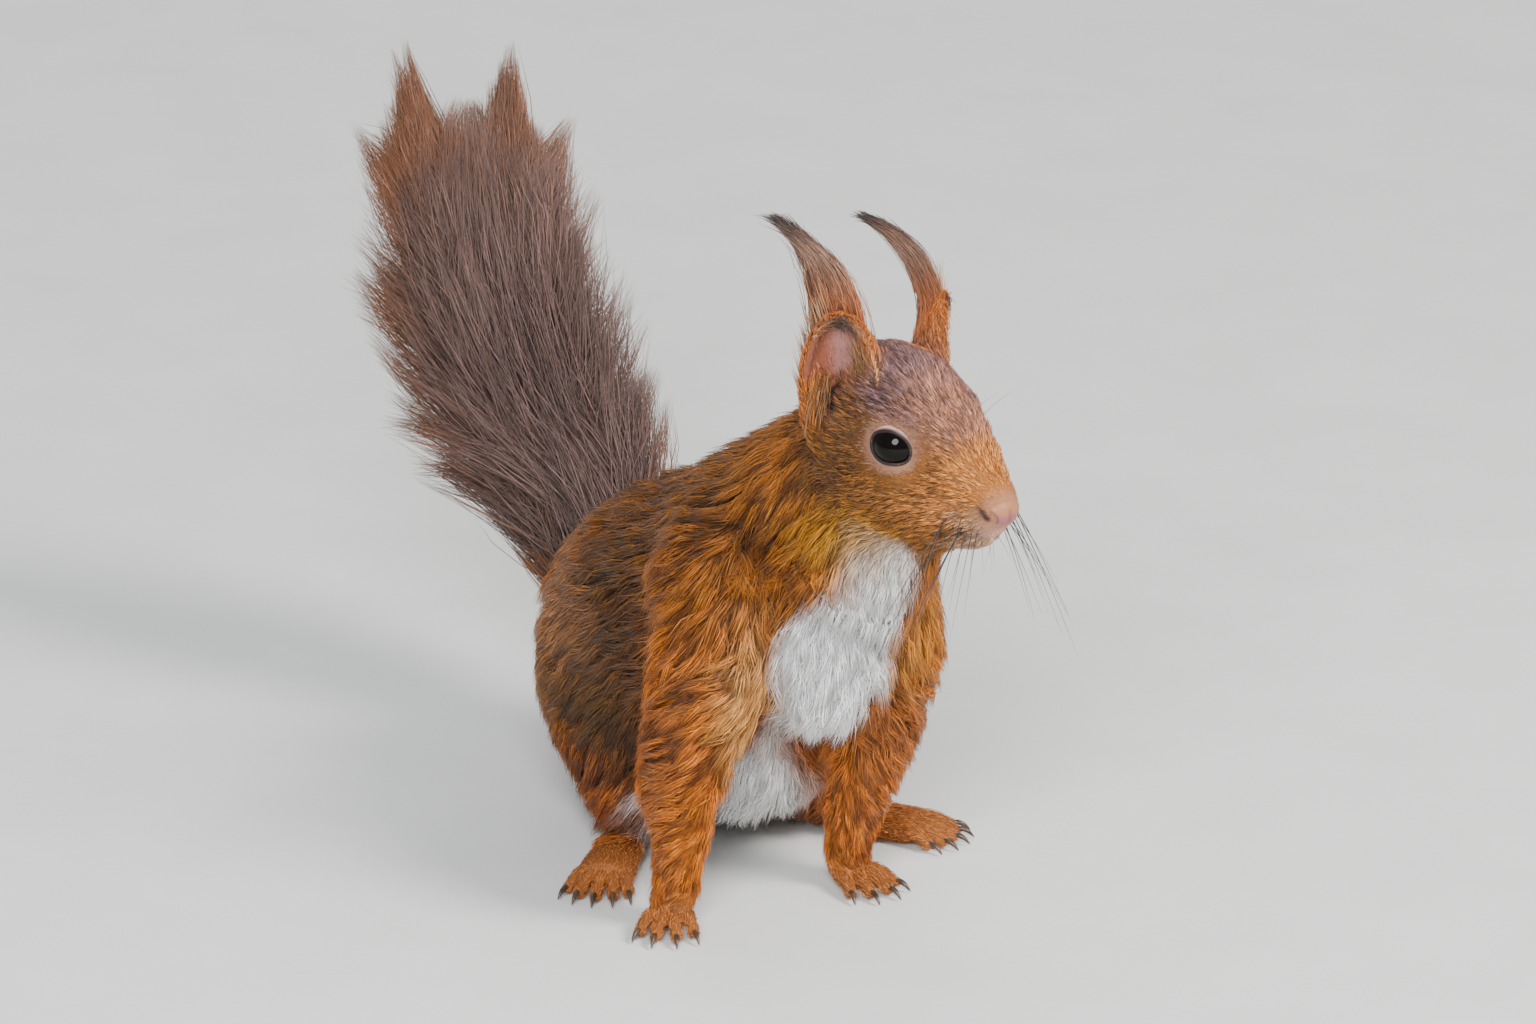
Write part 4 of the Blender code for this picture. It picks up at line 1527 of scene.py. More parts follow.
def strands(
    name: str,
    anatomy: Anatomy,
    paths: Array,
    halves: Array,
    up: Array,
    colours: Array,
    patches: Array,
    patch: float = 0.0015,
) -> Mesh:
    """Joins long three-sided locks of hair into one mesh.

    Args:
        name: The mesh's name.
        anatomy: The animal's measures.
        paths: For each lock, its points from root to tip, in the animal's frame.
        halves: Half of the lock's width at each point.
        up: The way that each lock's ridge faces.
        colours: A colour for each point of each lock.
        patches: Each root's place on the coat's map.
        patch: Half of the patch that a lock takes on the map.

    Returns:
        The mesh.
    """
    count, steps, _ = paths.shape
    ahead = unit(np.gradient(paths, axis=1))
    across = unit(np.cross(ahead, up[:, None, :]))
    rise = np.cross(across, ahead)
    corners = np.array([(-1.0, -0.35), (1.0, -0.35), (0.0, 0.75)])
    rings = steps - 1
    ring = (
        paths[:, :rings, None, :]
        + across[:, :rings, None, :] * (corners[:, 0] * halves[:, :rings, None])[..., None]
        + rise[:, :rings, None, :] * (corners[:, 1] * halves[:, :rings, None])[..., None]
    )
    points = np.concatenate([ring.reshape(count, rings * 3, 3), paths[:, -1:, :]], axis=1)
    points[..., 2] = np.maximum(points[..., 2], LOWEST_HAIR)
    shade = np.concatenate([np.repeat(colours[:, :rings], 3, axis=1), colours[:, -1:]], axis=1)
    faces = [(0, 1, 2)]
    for row in range(rings - 1):
        for i in range(3):
            j = (i + 1) % 3
            a, b, c, d = row * 3 + i, row * 3 + j, row * 3 + 3 + i, row * 3 + 3 + j
            faces += [(a, c, b), (b, c, d)]
    last = (rings - 1) * 3
    faces += [(last + i, last + 3, last + (i + 1) % 3) for i in range(3)]
    each = rings * 3 + 1
    whole = (np.arange(count) * each)[:, None, None] + np.array(faces)[None]
    share = np.concatenate([np.repeat(np.arange(rings) / rings, 3), [1.0]]) * 2.0 - 1.0
    side = np.concatenate([np.tile(corners[:, 0], rings), [0.0]])
    spread = np.stack([side, share], axis=1) * patch
    return mesh_of(
        name,
        anatomy.world(points.reshape(-1, 3)),
        whole.reshape(-1, 3),
        shade.reshape(-1, 3),
        (patches[:, None, :] + spread[None]).reshape(-1, 2),
    )


@dataclass
class Brush:
    """The long hair of the tail: locks that leave the core and fan out to the solids' surface."""

    skin: Skin
    count: int = 25000
    seed: int = 21
    steps: int = 5
    half: float = 0.125
    taper: tuple[float, ...] = (0.7, 1.0, 0.95, 0.7, 0.0)
    most: int = 8400
    # The range of the locks' lengths, the last place along the tail where one starts, and how
    # many locks share a guide.
    lengths: Pair = (17.0, 38.0)
    last_start: float = 0.86
    sharing: int = 40

    def build(self) -> None:
        """Grows the brush and joins it into pieces from the root to the tip."""
        anatomy = self.skin.anatomy
        rng = np.random.default_rng(self.seed)
        tips = self.tips(rng)
        line = along(anatomy.tail, np.linspace(0.0, 1.0, 161))[:, :3]
        ends = nearest_on(line, tips)[0] / 160.0
        beyond = np.maximum(tips[:, 2] - line[-1, 2], 0.0)
        back = rng.uniform(*self.lengths, self.count) + beyond * 0.5
        length = np.linalg.norm(np.diff(line, axis=0), axis=1).sum()
        starts = np.clip(ends - back / length, 0.0, self.last_start)
        roots = along(anatomy.tail, starts)[:, :3]
        core = np.interp(starts, [0.0, 0.3, 0.9], [7.5, 4.2, 1.4])
        outward = tips - along(anatomy.tail, ends)[:, :3]
        stray = rng.normal(0.0, 0.22, outward.shape)
        outward = unit(outward + stray * np.linalg.norm(outward, axis=1)[:, None])
        roots = roots + outward * core[:, None] * 0.8
        before, after = (along(anatomy.tail, starts + step)[:, :3] for step in (-0.02, 0.02))
        ahead = unit(after - before)
        span = np.linalg.norm(tips - roots, axis=1)[:, None]
        bow = rng.uniform(0.45, 1.0, (self.count, 1))
        handle = roots + unit(ahead * (1.1 - 0.5 * bow) + outward * bow) * span * 0.55
        path = self.curved(roots, handle, tips)
        path = self.waved(path, rng)
        halves = self.half * np.array(self.taper)[None] * rng.uniform(0.7, 1.3, (self.count, 1))
        shade = self.shaded(tips, ends, rng)
        patches = nearest_patches(self.skin, roots)
        up = unit(outward + rng.normal(0.0, 0.3, outward.shape))
        order = np.argsort(starts, kind="stable")
        pieces = np.array_split(order, math.ceil(self.count / self.most))
        for number, rows in enumerate(pieces):
            label = f"brush_{number + 1}"
            mesh = strands(label, anatomy, path[rows], halves[rows], up[rows], shade[rows], patches[rows])
            mesh.materials.append(LONG_HAIR.material())
            piece(label, mesh, TAIL_NODES if number == 0 else ())

    def tips(self, rng: Generator) -> Array:
        """Chooses where locks end: over the solids of the tail, and some way inside them.

        Args:
            rng: The source of the choices.

        Returns:
            Places in the animal's frame.
        """
        anatomy = self.skin.anatomy
        corners = []
        for name in TAIL_NODES:
            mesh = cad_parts[name].data
            places = anatomy.own(rows_of(mesh.vertices, "co"))
            faces, _ = triangles_of(mesh)
            corners.append(places[faces])
        triangles = np.concatenate(corners)
        a, b, c = (triangles[:, i] for i in range(3))
        area = np.linalg.norm(np.cross(b - a, c - a), axis=1)
        area *= 1.0 + 2.0 * smooth_step((triangles[:, :, 2].max(axis=1) - 116.0) / 20.0)
        total = np.cumsum(area)
        face = np.searchsorted(total, rng.random(self.count) * total[-1]).clip(0, len(area) - 1)
        weight = triangle_weights(self.count, rng)
        found = np.einsum("ij,ijk->ik", weight, triangles[face])
        line = along(anatomy.tail, np.linspace(0.0, 1.0, 81))[:, :3]
        middle = line[nearest_on(line, found)[0]]
        depth = rng.random(self.count) ** 2.2 * 0.55
        depth *= 1.0 - 0.85 * smooth_step((found[:, 2] - 118.0) / 12.0)
        return found + (middle - found) * depth[:, None]

    def curved(self, roots: Array, handle: Array, tips: Array) -> Array:
        """Draws each lock as a curve from its root, past its handle, to its tip."""
        t = np.linspace(0.0, 1.0, self.steps)[None, :, None]
        return (1 - t) ** 2 * roots[:, None] + 2 * t * (1 - t) * handle[:, None] + t**2 * tips[:, None]

    def waved(self, path: Array, rng: Generator) -> Array:
        """Bends locks from side to side, those that grow together alike.

        Args:
            path: The locks' points.
            rng: The source of the small differences between locks.

        Returns:
            The bent points.
        """
        chosen = np.arange(0, self.count, self.sharing)
        tree = tree_of(path[:, -1], chosen)
        guide = np.fromiter((tree.find(place)[1] for place in path[:, -1]), int, self.count)
        t = np.linspace(0.0, 1.0, self.steps)[None, :, None]
        high = smooth_step((path[:, -1, 2] - 96.0) / 30.0)[:, None, None]
        lean = rng.uniform(0.2, 0.7, (self.count, 1, 1)) * (1.0 - 0.3 * high) * t**1.5
        path = path + (path[guide] - path) * lean
        phase = rng.uniform(0.0, 6.28, self.count)[guide] + rng.normal(0.0, 0.5, self.count)
        swing = np.sin(phase[:, None] + np.linspace(0.0, 3.8, self.steps)[None])
        swing = swing * np.linspace(0.0, 2.0, self.steps)
        across = np.random.default_rng(self.seed + 3).normal(0.0, 1.0, (self.count, 3))[guide]
        return path + unit(across)[:, None, :] * swing[..., None]

    def shaded(self, tips: Array, ends: Array, rng: Generator) -> Array:
        """Colours each lock: mauve brown, darker low on its right as painted shade, with rusty tips at its
        rim.

        Args:
            tips: Where the locks end.
            ends: The same, as places along the tail.
            rng: The source of the small differences between locks.

        Returns:
            A colour for each point of each lock.
        """
        middle = along(self.skin.anatomy.tail, ends)
        aside = np.abs(tips[:, 0] - middle[:, 0]) / (middle[:, 3] * 1.9)
        # Painted shade: locks low on the tail's right, the side away from the key light, are darkened.
        low = smooth_step((0.55 - ends) / 0.35) * smooth_step((middle[:, 0] - tips[:, 0]) / 14.0)
        base = np.array(linear(106, 80, 72)) * np.ones((self.count, 1))
        base = base * (1.0 + wander(tips, 11.0, 8) * 0.2 + wander(tips, 40.0, 9) * 0.12)
        base = base + (np.array(linear(66, 46, 30)) - base) * (low * 0.85)[:, None]
        rim = smooth_step((aside - 0.7) / 0.4) + smooth_step((tips[:, 2] - 124.0) / 14.0) * 0.5
        tip = base + (np.array(linear(150, 94, 56)) - base) * np.clip(rim, 0.0, 0.7)[:, None]
        t = np.linspace(0.0, 1.0, self.steps)[None, :, None]
        tone = rng.normal(1.0, 0.28, (self.count, 1, 1)).clip(0.45, 1.8)
        return ((base[:, None] * (0.6 + 0.4 * t) * (1 - t) + tip[:, None] * t) * tone).clip(0.0, 1.0)


def nearest_patches(skin: Skin, roots: Array) -> Array:
    """Finds the places on the coat's map nearest to some roots.

    Args:
        skin: The skin.
        roots: Places in the animal's frame.

    Returns:
        A place on the map for each.
    """
    middles = skin.places[skin.corners].mean(axis=1)
    low, high = roots.min(axis=0) - 12.0, roots.max(axis=0) + 12.0
    near = np.flatnonzero(((middles > low) & (middles < high)).all(axis=1))
    near = near if len(near) else np.arange(len(middles))
    tree = tree_of(middles, near)
    found = np.fromiter((tree.find(place)[1] for place in roots), int, len(roots))
    return skin.patches[found].mean(axis=1)


@dataclass
class EarTuft:
    """The long hair on an ear: its plume, which frays at the tip, and the fringe along its rim."""

    skin: Skin
    ear: Ear
    count: int = 1900
    wisps: int = 240
    fringe_count: int = 620
    lining_count: int = 420
    edge_count: int = 130
    seed: int = 31
    steps: int = 5
    half: float = 0.085
    taper: tuple[float, ...] = (0.9, 1.0, 0.9, 0.65, 0.0)

    def build(self) -> None:
        """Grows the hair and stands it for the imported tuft."""
        rng = np.random.default_rng(self.seed + self.ear.side.value)
        grown = [self.plume(rng), self.fringe(rng), self.lining(rng), self.rear_edge(rng)]
        middle, axes = self.ear.axes(self.skin.anatomy)
        path = np.concatenate([hair for hair, _ in grown]) @ axes + middle
        shade = np.concatenate([colours for _, colours in grown])
        count = len(path)
        tone = rng.normal(1.0, 0.3, (count, 1, 1)).clip(0.45, 1.9)
        halves = self.half * np.array(self.taper)[None] * rng.uniform(0.6, 1.4, (count, 1))
        up = np.tile(axes[1], (count, 1))
        up[: len(grown[0][0])] *= -1.0
        name = f"ear_hair_{self.ear.side.word}"
        patches = nearest_patches(self.skin, path[:, 0])
        mesh = strands(name, self.skin.anatomy, path, halves, up, (shade * tone).clip(0.0, 1.0), patches)
        mesh.materials.append(LONG_HAIR.material())
        piece(name, mesh, (f"ear_tuft_{self.ear.side.word}",))

    def plume(self, rng: Generator) -> tuple[Array, Array]:
        """Draws the hair that runs up the back of the ear and on to the tuft's tip.

        Args:
            rng: The source of the differences between hairs.

        Returns:
            Each hair's points in the ear's own frame, and its colours.
        """
        count = self.count + self.wisps
        wisp = np.arange(count) >= self.count
        share = np.linspace(0.0, 1.0, self.steps)
        starts = np.where(wisp, rng.uniform(0.55, 0.8, count), rng.uniform(-0.05, 0.62, count))
        ends = starts + rng.uniform(0.22, 0.5, count)
        ends = np.where(ends > 0.95, 0.95 - rng.random(count) * 0.32, ends)
        ends = np.where(wisp, rng.uniform(0.84, 1.1, count), np.maximum(ends, starts + 0.12))
        place = starts[:, None] + (ends - starts)[:, None] * share
        rows = along(self.ear.tuft, place.ravel()).reshape(count, self.steps, 4)
        angle = rng.uniform(0.0, 2 * math.pi, count)
        out = np.sqrt(rng.random(count)) * np.where(rng.random(count) < 0.08, 1.35, 1.0)
        radius = np.maximum(rows[..., 3] * 0.96, 0.5)
        loose = rng.normal(0.0, 1.0, (count, 2, 1)) * (0.15 + 0.85 * share**2)
        loose = loose * np.where(wisp, 1.8, 0.95)[:, None, None]
        local = rows[..., :3].copy()
        local[..., 0] += np.cos(angle)[:, None] * out[:, None] * radius + loose[:, 0]
        local[..., 1] += (np.sin(angle)[:, None] * out[:, None] * radius) * self.ear.flat + loose[:, 1] * 0.7
        swing = np.sin(rng.uniform(0.0, 6.28, (count, 1)) + share * 4.0) * share * 0.55
        local[..., 0] += swing
        across = local[..., [0, 2]] / np.array([self.ear.half[0], self.ear.half[2]])
        within = (across**2).sum(-1)
        back = -self.ear.half[1] * np.sqrt(np.maximum(1.0 - within, 0.0)) * 1.08 - 0.4
        local[..., 1] = np.where(within < 1.04, np.minimum(local[..., 1], back), local[..., 1])
        orange, grey = np.array(linear(176, 100, 52)), np.array(linear(136, 98, 78))
        dark = np.array(linear(48, 34, 30))
        height = np.clip(place, 0.0, 1.1)[..., None]
        shade = orange + (grey - orange) * smooth_step((height - 0.25) / 0.35)
        shade = shade + (dark - shade) * smooth_step((height - 0.62) / 0.35) * 0.9
        shade = np.where(rng.random((count, 1, 1)) < 0.22, shade * 0.45, shade)
        return local, shade

    def fringe(self, rng: Generator) -> tuple[Array, Array]:
        """Draws the darker hair that lies along the rim and over the top of the cup.

        Args:
            rng: The source of the differences between hairs.

        Returns:
            Each hair's points in the ear's own frame, and its colours.
        """
        count = self.fringe_count
        share = np.linspace(0.0, 1.0, self.steps)[None]
        start = np.where(
            rng.random((count, 1)) < 0.75,
            rng.uniform(-0.6, 0.85, (count, 1)),
            rng.uniform(-1.4, -0.6, (count, 1)),
        )
        top = np.exp(-(((start - 0.12) / 0.6) ** 2))
        turn = start - share * rng.uniform(0.10, 0.34, (count, 1)) * (0.4 + top)
        inward = 1.02 - rng.random((count, 1)) * 0.16 * top - share * 0.10 * rng.random((count, 1))
        local = np.stack(
            [
                np.sin(turn) * self.ear.half[0] * inward,
                0.4 + 0.9 * share + rng.normal(0.0, 0.45, (count, 1)) - (1.0 - inward) * 5.0,
                np.cos(turn) * self.ear.half[2] * inward + share * rng.normal(0.4, 0.6, (count, 1)),
            ],
            axis=-1,
        )
        dark, brown = np.array(linear(58, 40, 32)), np.array(linear(178, 112, 62))
        streak = np.where(rng.random((count, 1, 1)) < 0.16, 2.6, 1.0)
        shade = (dark + (brown - dark) * (1.0 - top[..., None])) * streak * np.ones((1, self.steps, 1))
        return local, shade

    def lining(self, rng: Generator) -> tuple[Array, Array]:
        """Draws the golden hair that rises over the front and the foot of the cup.

        Args:
            rng: The source of the differences between hairs.

        Returns:
            Each hair's points in the ear's own frame, and its colours.
        """
        count = self.lining_count
        share = np.linspace(0.0, 1.0, self.steps)[None]
        across = rng.uniform(-7.4, -2.6, (count, 1))
        foot = rng.uniform(-9.0, 7.5, (count, 1))
        behind = rng.random((count, 1)) < 0.25
        across = np.where(behind, rng.uniform(3.0, 8.0, (count, 1)), across)
        foot = np.where(behind, rng.uniform(-11.0, -1.0, (count, 1)), foot)
        length = rng.uniform(3.5, 6.5, (count, 1))
        lean = rng.normal(0.22, 0.14, (count, 1)) * np.where(behind, -0.6, 1.0)
        wall = np.maximum(1.0 - (across / self.ear.half[0]) ** 2 - (foot / self.ear.half[2]) ** 2, 0.0)
        depth = -self.ear.half[1] * 0.62 * np.sqrt(wall) + 0.6 + 1.2 * np.sin(share * 2.4)
        local = np.stack(
            [
                across + lean * length * share,
                depth + rng.normal(0.0, 0.3, (count, 1)),
                foot + length * share,
            ],
            axis=-1,
        )
        deep, gold = np.array(linear(104, 66, 34)), np.array(linear(182, 128, 74))
        shade = deep + (gold - deep) * (0.3 + 0.7 * share[..., None]) * rng.uniform(0.4, 1.1, (count, 1, 1))
        return local, shade

    def rear_edge(self, rng: Generator) -> tuple[Array, Array]:
        """Draws the fine pale hair that stands off the ear's rear edge.

        Args:
            rng: The source of the differences between hairs.

        Returns:
            Each hair's points in the ear's own frame, and its colours.
        """
        count = self.edge_count
        share = np.linspace(0.0, 1.0, self.steps)[None]
        turn = rng.uniform(0.35, 1.9, (count, 1))
        length = rng.uniform(4.0, 9.0, (count, 1))
        local = np.stack(
            [
                np.sin(turn) * self.ear.half[0] + length * share * rng.uniform(0.08, 0.4, (count, 1)),
                -1.5 + rng.normal(0.0, 0.8, (count, 1)) + share * 0.4,
                np.cos(turn) * self.ear.half[2] + length * share,
            ],
            axis=-1,
        )
        shade = np.array(linear(178, 134, 98)) * rng.uniform(0.7, 1.1, (count, 1, 1))
        return local, shade * np.ones((1, self.steps, 1))


@dataclass
class Eye:
    """An eye: a dark wet ball with a bulging front, held by a rim of bare lid."""

    anatomy: Anatomy
    side: Side
    wide: float = math.radians(51)
    high: float = math.radians(36.5)

    def axes(self) -> Array:
        """The eye's forward, upward and outward axes as rows, in the animal's frame."""
        out = unit(np.array(self.anatomy.mirrored(self.anatomy.ball_axis, self.side)))
        up = unit(np.array([0.0, -0.12, 1.0]) - out * float(np.dot([0.0, -0.12, 1.0], out)))
        ahead = np.cross(up, out)
        ahead = ahead if ahead[1] < 0 else -ahead
        return np.array([self.anatomy.head_direction(tuple(row)) for row in (ahead, up, out)])

    def middle(self) -> Array:
        """The middle of the ball in the animal's frame."""
        place = self.anatomy.mirrored(self.anatomy.ball_place, self.side)
        return self.anatomy.from_head(np.array([place]))[0]

    def opening(self, angle: Array) -> Array:
        """Reads how far from its axis the eye is open.

        Args:
            angle: Angles round the axis, 0 towards the nose and rising upwards.

        Returns:
            The opening in that direction, in radians, with its two corners drawn out.
        """
        oval = 1.0 / np.hypot(np.cos(angle) / self.wide, np.sin(angle) / self.high)
        front = np.maximum(np.cos(angle - math.radians(-28)), 0.0) ** 9 * math.radians(8)
        rear = np.maximum(np.cos(angle - math.radians(172)), 0.0) ** 10 * math.radians(4)
        return oval + front + rear

    def past(self, places: Array) -> tuple[Array, Array]:
        """Measures places from the eye.

        Args:
            places: Rows of x, y and z in the animal's frame.

        Returns:
            How far past the opening each lies, in radians, and how far from the ball's middle.
        """
        local = (places - self.middle()) @ self.axes().T
        reach = np.linalg.norm(local, axis=1)
        lean = np.arccos(np.clip(local[:, 2] / np.maximum(reach, 1e-6), -1.0, 1.0))
        return lean - self.opening(np.arctan2(local[:, 1], local[:, 0])), reach

    def build(self) -> None:
        """Builds the ball and its lid."""
        self.ball()
        self.lid()

    def ball(self) -> None:
        """Turns a sphere's pole outward and lets its front bulge."""
        shape = bmesh.new()
        bmesh.ops.create_uvsphere(shape, u_segments=48, v_segments=32, radius=1.0)
        rows = self.axes()
        for vertex in shape.verts:
            front = max(vertex.co.z, 0.0)
            vertex.co *= self.anatomy.ball_radius * (1.0 + 0.03 * front**6)
            place = np.array(vertex.co) @ rows + self.middle()
            vertex.co = Vector(self.anatomy.world(place))
        carved(f"eyeball_{self.side.word}", shape, EyeFinish(), (f"eye_{self.side.word}",))

    def lid(self) -> None:
        """Bridges rings round the opening: the dark edge on the ball, its roll, and the fold behind."""
        shape = bmesh.new()
        segments = 64
        # How far each ring lies past the opening, how far it stands off the ball, and its colour.
        dark, brown, pale = linear(38, 26, 24), linear(122, 88, 80), linear(204, 166, 152)
        profile = (
            (-0.04, 0.02, dark),
            (0.01, 0.2, dark),
            (0.06, 0.36, dark),
            (0.11, 0.44, brown),
            (0.18, 0.46, pale),
            (0.28, 0.38, pale),
            (0.38, 0.22, brown),
            (0.5, -0.4, brown),
        )
        tints = shape.verts.layers.float_color.new(COLOUR)
        rows = self.axes()
        rings = []
        for past, stand, colour in profile:
            made = bmesh.ops.create_circle(shape, cap_ends=False, segments=segments, radius=1.0)
            for vertex in made["verts"]:
                angle = math.atan2(vertex.co.y, vertex.co.x)
                lean = float(self.opening(np.array(angle))) + past
                aside = math.sin(lean)
                local = np.array((aside * math.cos(angle), aside * math.sin(angle), math.cos(lean)))
                local = local * (self.anatomy.ball_radius + stand)
                vertex.co = Vector(self.anatomy.world(local @ rows + self.middle()))
                vertex[tints] = (*colour, 1.0)
            rings.append(ring_edges(made))
        bridged(shape, [*rings, rings[0]])
        carved(f"eyelid_{self.side.word}", shape, LID_SKIN)


@dataclass
class Nose:
    """The bare pad of the nose, with its two curled nostrils and the groove between them."""

    anatomy: Anatomy
    middle: Triple = (0.0, 4.1, -1.9)
    half: Triple = (4.3, 2.6, 3.05)

    def build(self) -> None:
        """Presses nostrils and a groove into a rounded pad."""
        shape = bmesh.new()
        bmesh.ops.create_uvsphere(shape, u_segments=56, v_segments=40, radius=1.0)
        tints = shape.verts.layers.float_color.new(COLOUR)
        for vertex in shape.verts:
            x, y, z = vertex.co
            front = max(-y, 0.0)
            groove = math.exp(-((x / 0.09) ** 2)) * (0.13 if z < 0.3 else 0.04) * front
            pull = 0.0
            for sign in (1.0, -1.0):
                dx = x * sign - 0.9 - 0.3 * (z + 0.25)
                pull = max(pull, math.exp(-((dx / 0.14) ** 2) - (((z + 0.25) / 0.42) ** 2)))
            share = 1.0 - groove - 0.5 * pull * (0.5 + 0.5 * front)
            local = np.array((x * share, y * share, z * (0.6 + 0.4 * share))) * np.array(self.half)
            place = self.anatomy.from_head(np.array([local + np.array(self.middle)]))[0]
            vertex.co = Vector(self.anatomy.world(place))
            pink, dark = np.array(linear(154, 88, 90)), np.array(NOSTRIL_SHADOW)
            above = np.array(linear(166, 110, 76))
            tint = pink + (above - pink) * float(smooth_step(np.array((z + 0.35) / 0.6)))
            # Painted shadow: the pressed nostrils and the groove are darkened as their hollows would be in
            # shade.
            tint = tint + (dark - tint) * min(1.0, 1.25 * pull + 3.0 * groove * (z < 0.3))
            vertex[tints] = (*tint, 1.0)
        carved("nose_pad", shape, NOSE_SKIN, ("nose",))


@dataclass
class Claws:
    """The claws, one at the end of each toe, set out as the feet in the solids are."""

    anatomy: Anatomy
    # Length past the toe, lift and radius.
    line: tuple[Triple, ...] = ((-1.4, 1.7, 0.7), (0.4, 2.2, 0.66), (2.0, 1.7, 0.48), (3.3, 0.5, 0.1))

    def build(self) -> None:
        """Bridges a curved cone for each toe of each foot."""
        for name, heel, toe, width, toes in self.anatomy.feet:
            shape = bmesh.new()
            for one in self.anatomy.toes(heel, toe, width, toes):
                tip = one.root + one.turned * one.reach
                stations = [(*(tip + one.turned * reach), lift, radius) for reach, lift, radius in self.line]
                tube_into(shape, self.anatomy.placed(stations), 8, 8)
            carved(f"claws_{name}", shape, CLAW_HORN)


@dataclass
class Whiskers:
    """The long stiff hairs of the lip, the chin and the brow."""

    anatomy: Anatomy
    seed: int = 41
    # Root in the head's frame, direction, length, droop, how many, how far they fan, radius.
    groups: tuple[tuple[Triple, Triple, float, float, int, float, float], ...] = (
        ((6.0, 11.0, -3.4), (0.54, 0.10, -0.80), 38.0, 5.0, 7, 0.09, 0.13),
        ((5.2, 8.5, -2.8), (0.44, -0.12, -0.85), 24.0, 3.0, 5, 0.14, 0.11),
        ((5.0, 20.0, 14.0), (0.5, -0.1, 0.8), 14.0, 3.0, 2, 0.2, 0.07),
        ((1.8, 9.0, -9.0), (0.3, 0.1, -0.9), 9.0, 1.5, 4, 0.25, 0.07),
    )

    def build(self) -> None:
        """Draws each whisker as a fine tapering rod with a droop."""
        rng = np.random.default_rng(self.seed)
        shape = bmesh.new()
        for root, toward, length, droop, count, fan, radius in self.groups:
            for side in Side:
                for _ in range(count):
                    start = np.array(self.anatomy.mirrored(root, side)) + rng.normal(0.0, 1.3, 3)
                    way = unit(np.array(self.anatomy.mirrored(toward, side)) + rng.normal(0.0, fan, 3))
                    reach = length * rng.uniform(0.6, 1.1)
                    stations = []
                    for share in (0.0, 0.33, 0.66, 1.0):
                        place = start + way * reach * share - np.array((0.0, 0.0, droop * share**2))
                        placed = self.anatomy.world(self.anatomy.from_head(place[None]))[0]
                        stations.append((*placed, radius * (1.0 - 0.85 * share) * MM))
                    tube_into(shape, stations, 8, 5)
        carved("whiskers", shape, WHISKER_HAIR)


# ---- Finishes ----


def mottle_group() -> NodeTree:
    """Breaks a colour up with a fine and a broad unevenness, as hair from many follicles does.

    Returns:
        The group, made once.
    """
    found = bpy.data.node_groups.get("coat_mottle")
    if found:
        return found
    group = bpy.data.node_groups.new("coat_mottle", "ShaderNodeTree")
    for label, kind, value in (
        ("Color", "NodeSocketColor", (0.5, 0.5, 0.5, 1.0)),
        ("Fine", "NodeSocketFloat", 900.0),
        ("Broad", "NodeSocketFloat", 120.0),
        ("Depth", "NodeSocketFloat", 0.25),
    ):
        group.interface.new_socket(label, in_out="INPUT", socket_type=kind).default_value = value
    for label, kind in (("Color", "NodeSocketColor"), ("Value", "NodeSocketFloat")):
        group.interface.new_socket(label, in_out="OUTPUT", socket_type=kind)
    nodes, links = group.nodes, group.links
    entry, leave = nodes.new("NodeGroupInput"), nodes.new("NodeGroupOutput")

    def step(
        operation: str, first: NodeSocket, second: NodeSocket | float
    ) -> NodeSocket:
        """Adds one step of arithmetic.

        Args:
            operation: What it does.
            first: Where its first value comes from.
            second: Its second value, or where that comes from.

        Returns:
            The result.
        """
        node = nodes.new("ShaderNodeMath")
        node.operation = operation
        links.new(first, node.inputs[0])
        if isinstance(second, float):
            node.inputs[1].default_value = second
        else:
            links.new(second, node.inputs[1])
        return node.outputs[0]

    patterns = []
    for label in ("Fine", "Broad"):
        pattern = noise(group, 2.0)
        links.new(entry.outputs[label], pattern.inputs["Scale"])
        patterns.append(pattern.outputs["Fac"])
    centred = step("SUBTRACT", step("ADD", *patterns), 1.0)
    gain = step("ADD", step("MULTIPLY", centred, entry.outputs["Depth"]), 1.0)
    tinted = nodes.new("ShaderNodeVectorMath")
    tinted.operation = "SCALE"
    links.new(entry.outputs["Color"], tinted.inputs[0])
    links.new(gain, tinted.inputs["Scale"])
    links.new(tinted.outputs["Vector"], leave.inputs["Color"])
    links.new(gain, leave.inputs["Value"])
    return group


def settle(node: Node, values: dict[str, float]) -> None:
    """Sets some of a node's inputs."""
    for name, value in values.items():
        node.inputs[name].default_value = value


def noise(tree: NodeTree, detail: float) -> Node:
    """Adds a noise that is tied to the object's own space."""
    place = tree.nodes.new("ShaderNodeTexCoord")
    pattern = tree.nodes.new("ShaderNodeTexNoise")
    settle(pattern, {"Detail": detail})
    tree.links.new(place.outputs["Object"], pattern.inputs["Vector"])
    return pattern


def painted(tree: NodeTree, shader: Node) -> Node:
    """Gives a shader the colours that the mesh carries, mottled.

    Args:
        tree: The material's nodes.
        shader: Its Principled shader.

    Returns:
        The mottling node.
    """
    colour = tree.nodes.new("ShaderNodeAttribute")
    colour.attribute_name = COLOUR
    mottle = tree.nodes.new("ShaderNodeGroup")
    mottle.node_tree = mottle_group()
    tree.links.new(colour.outputs["Color"], mottle.inputs["Color"])
    tree.links.new(mottle.outputs["Color"], shader.inputs["Base Color"])
    return mottle


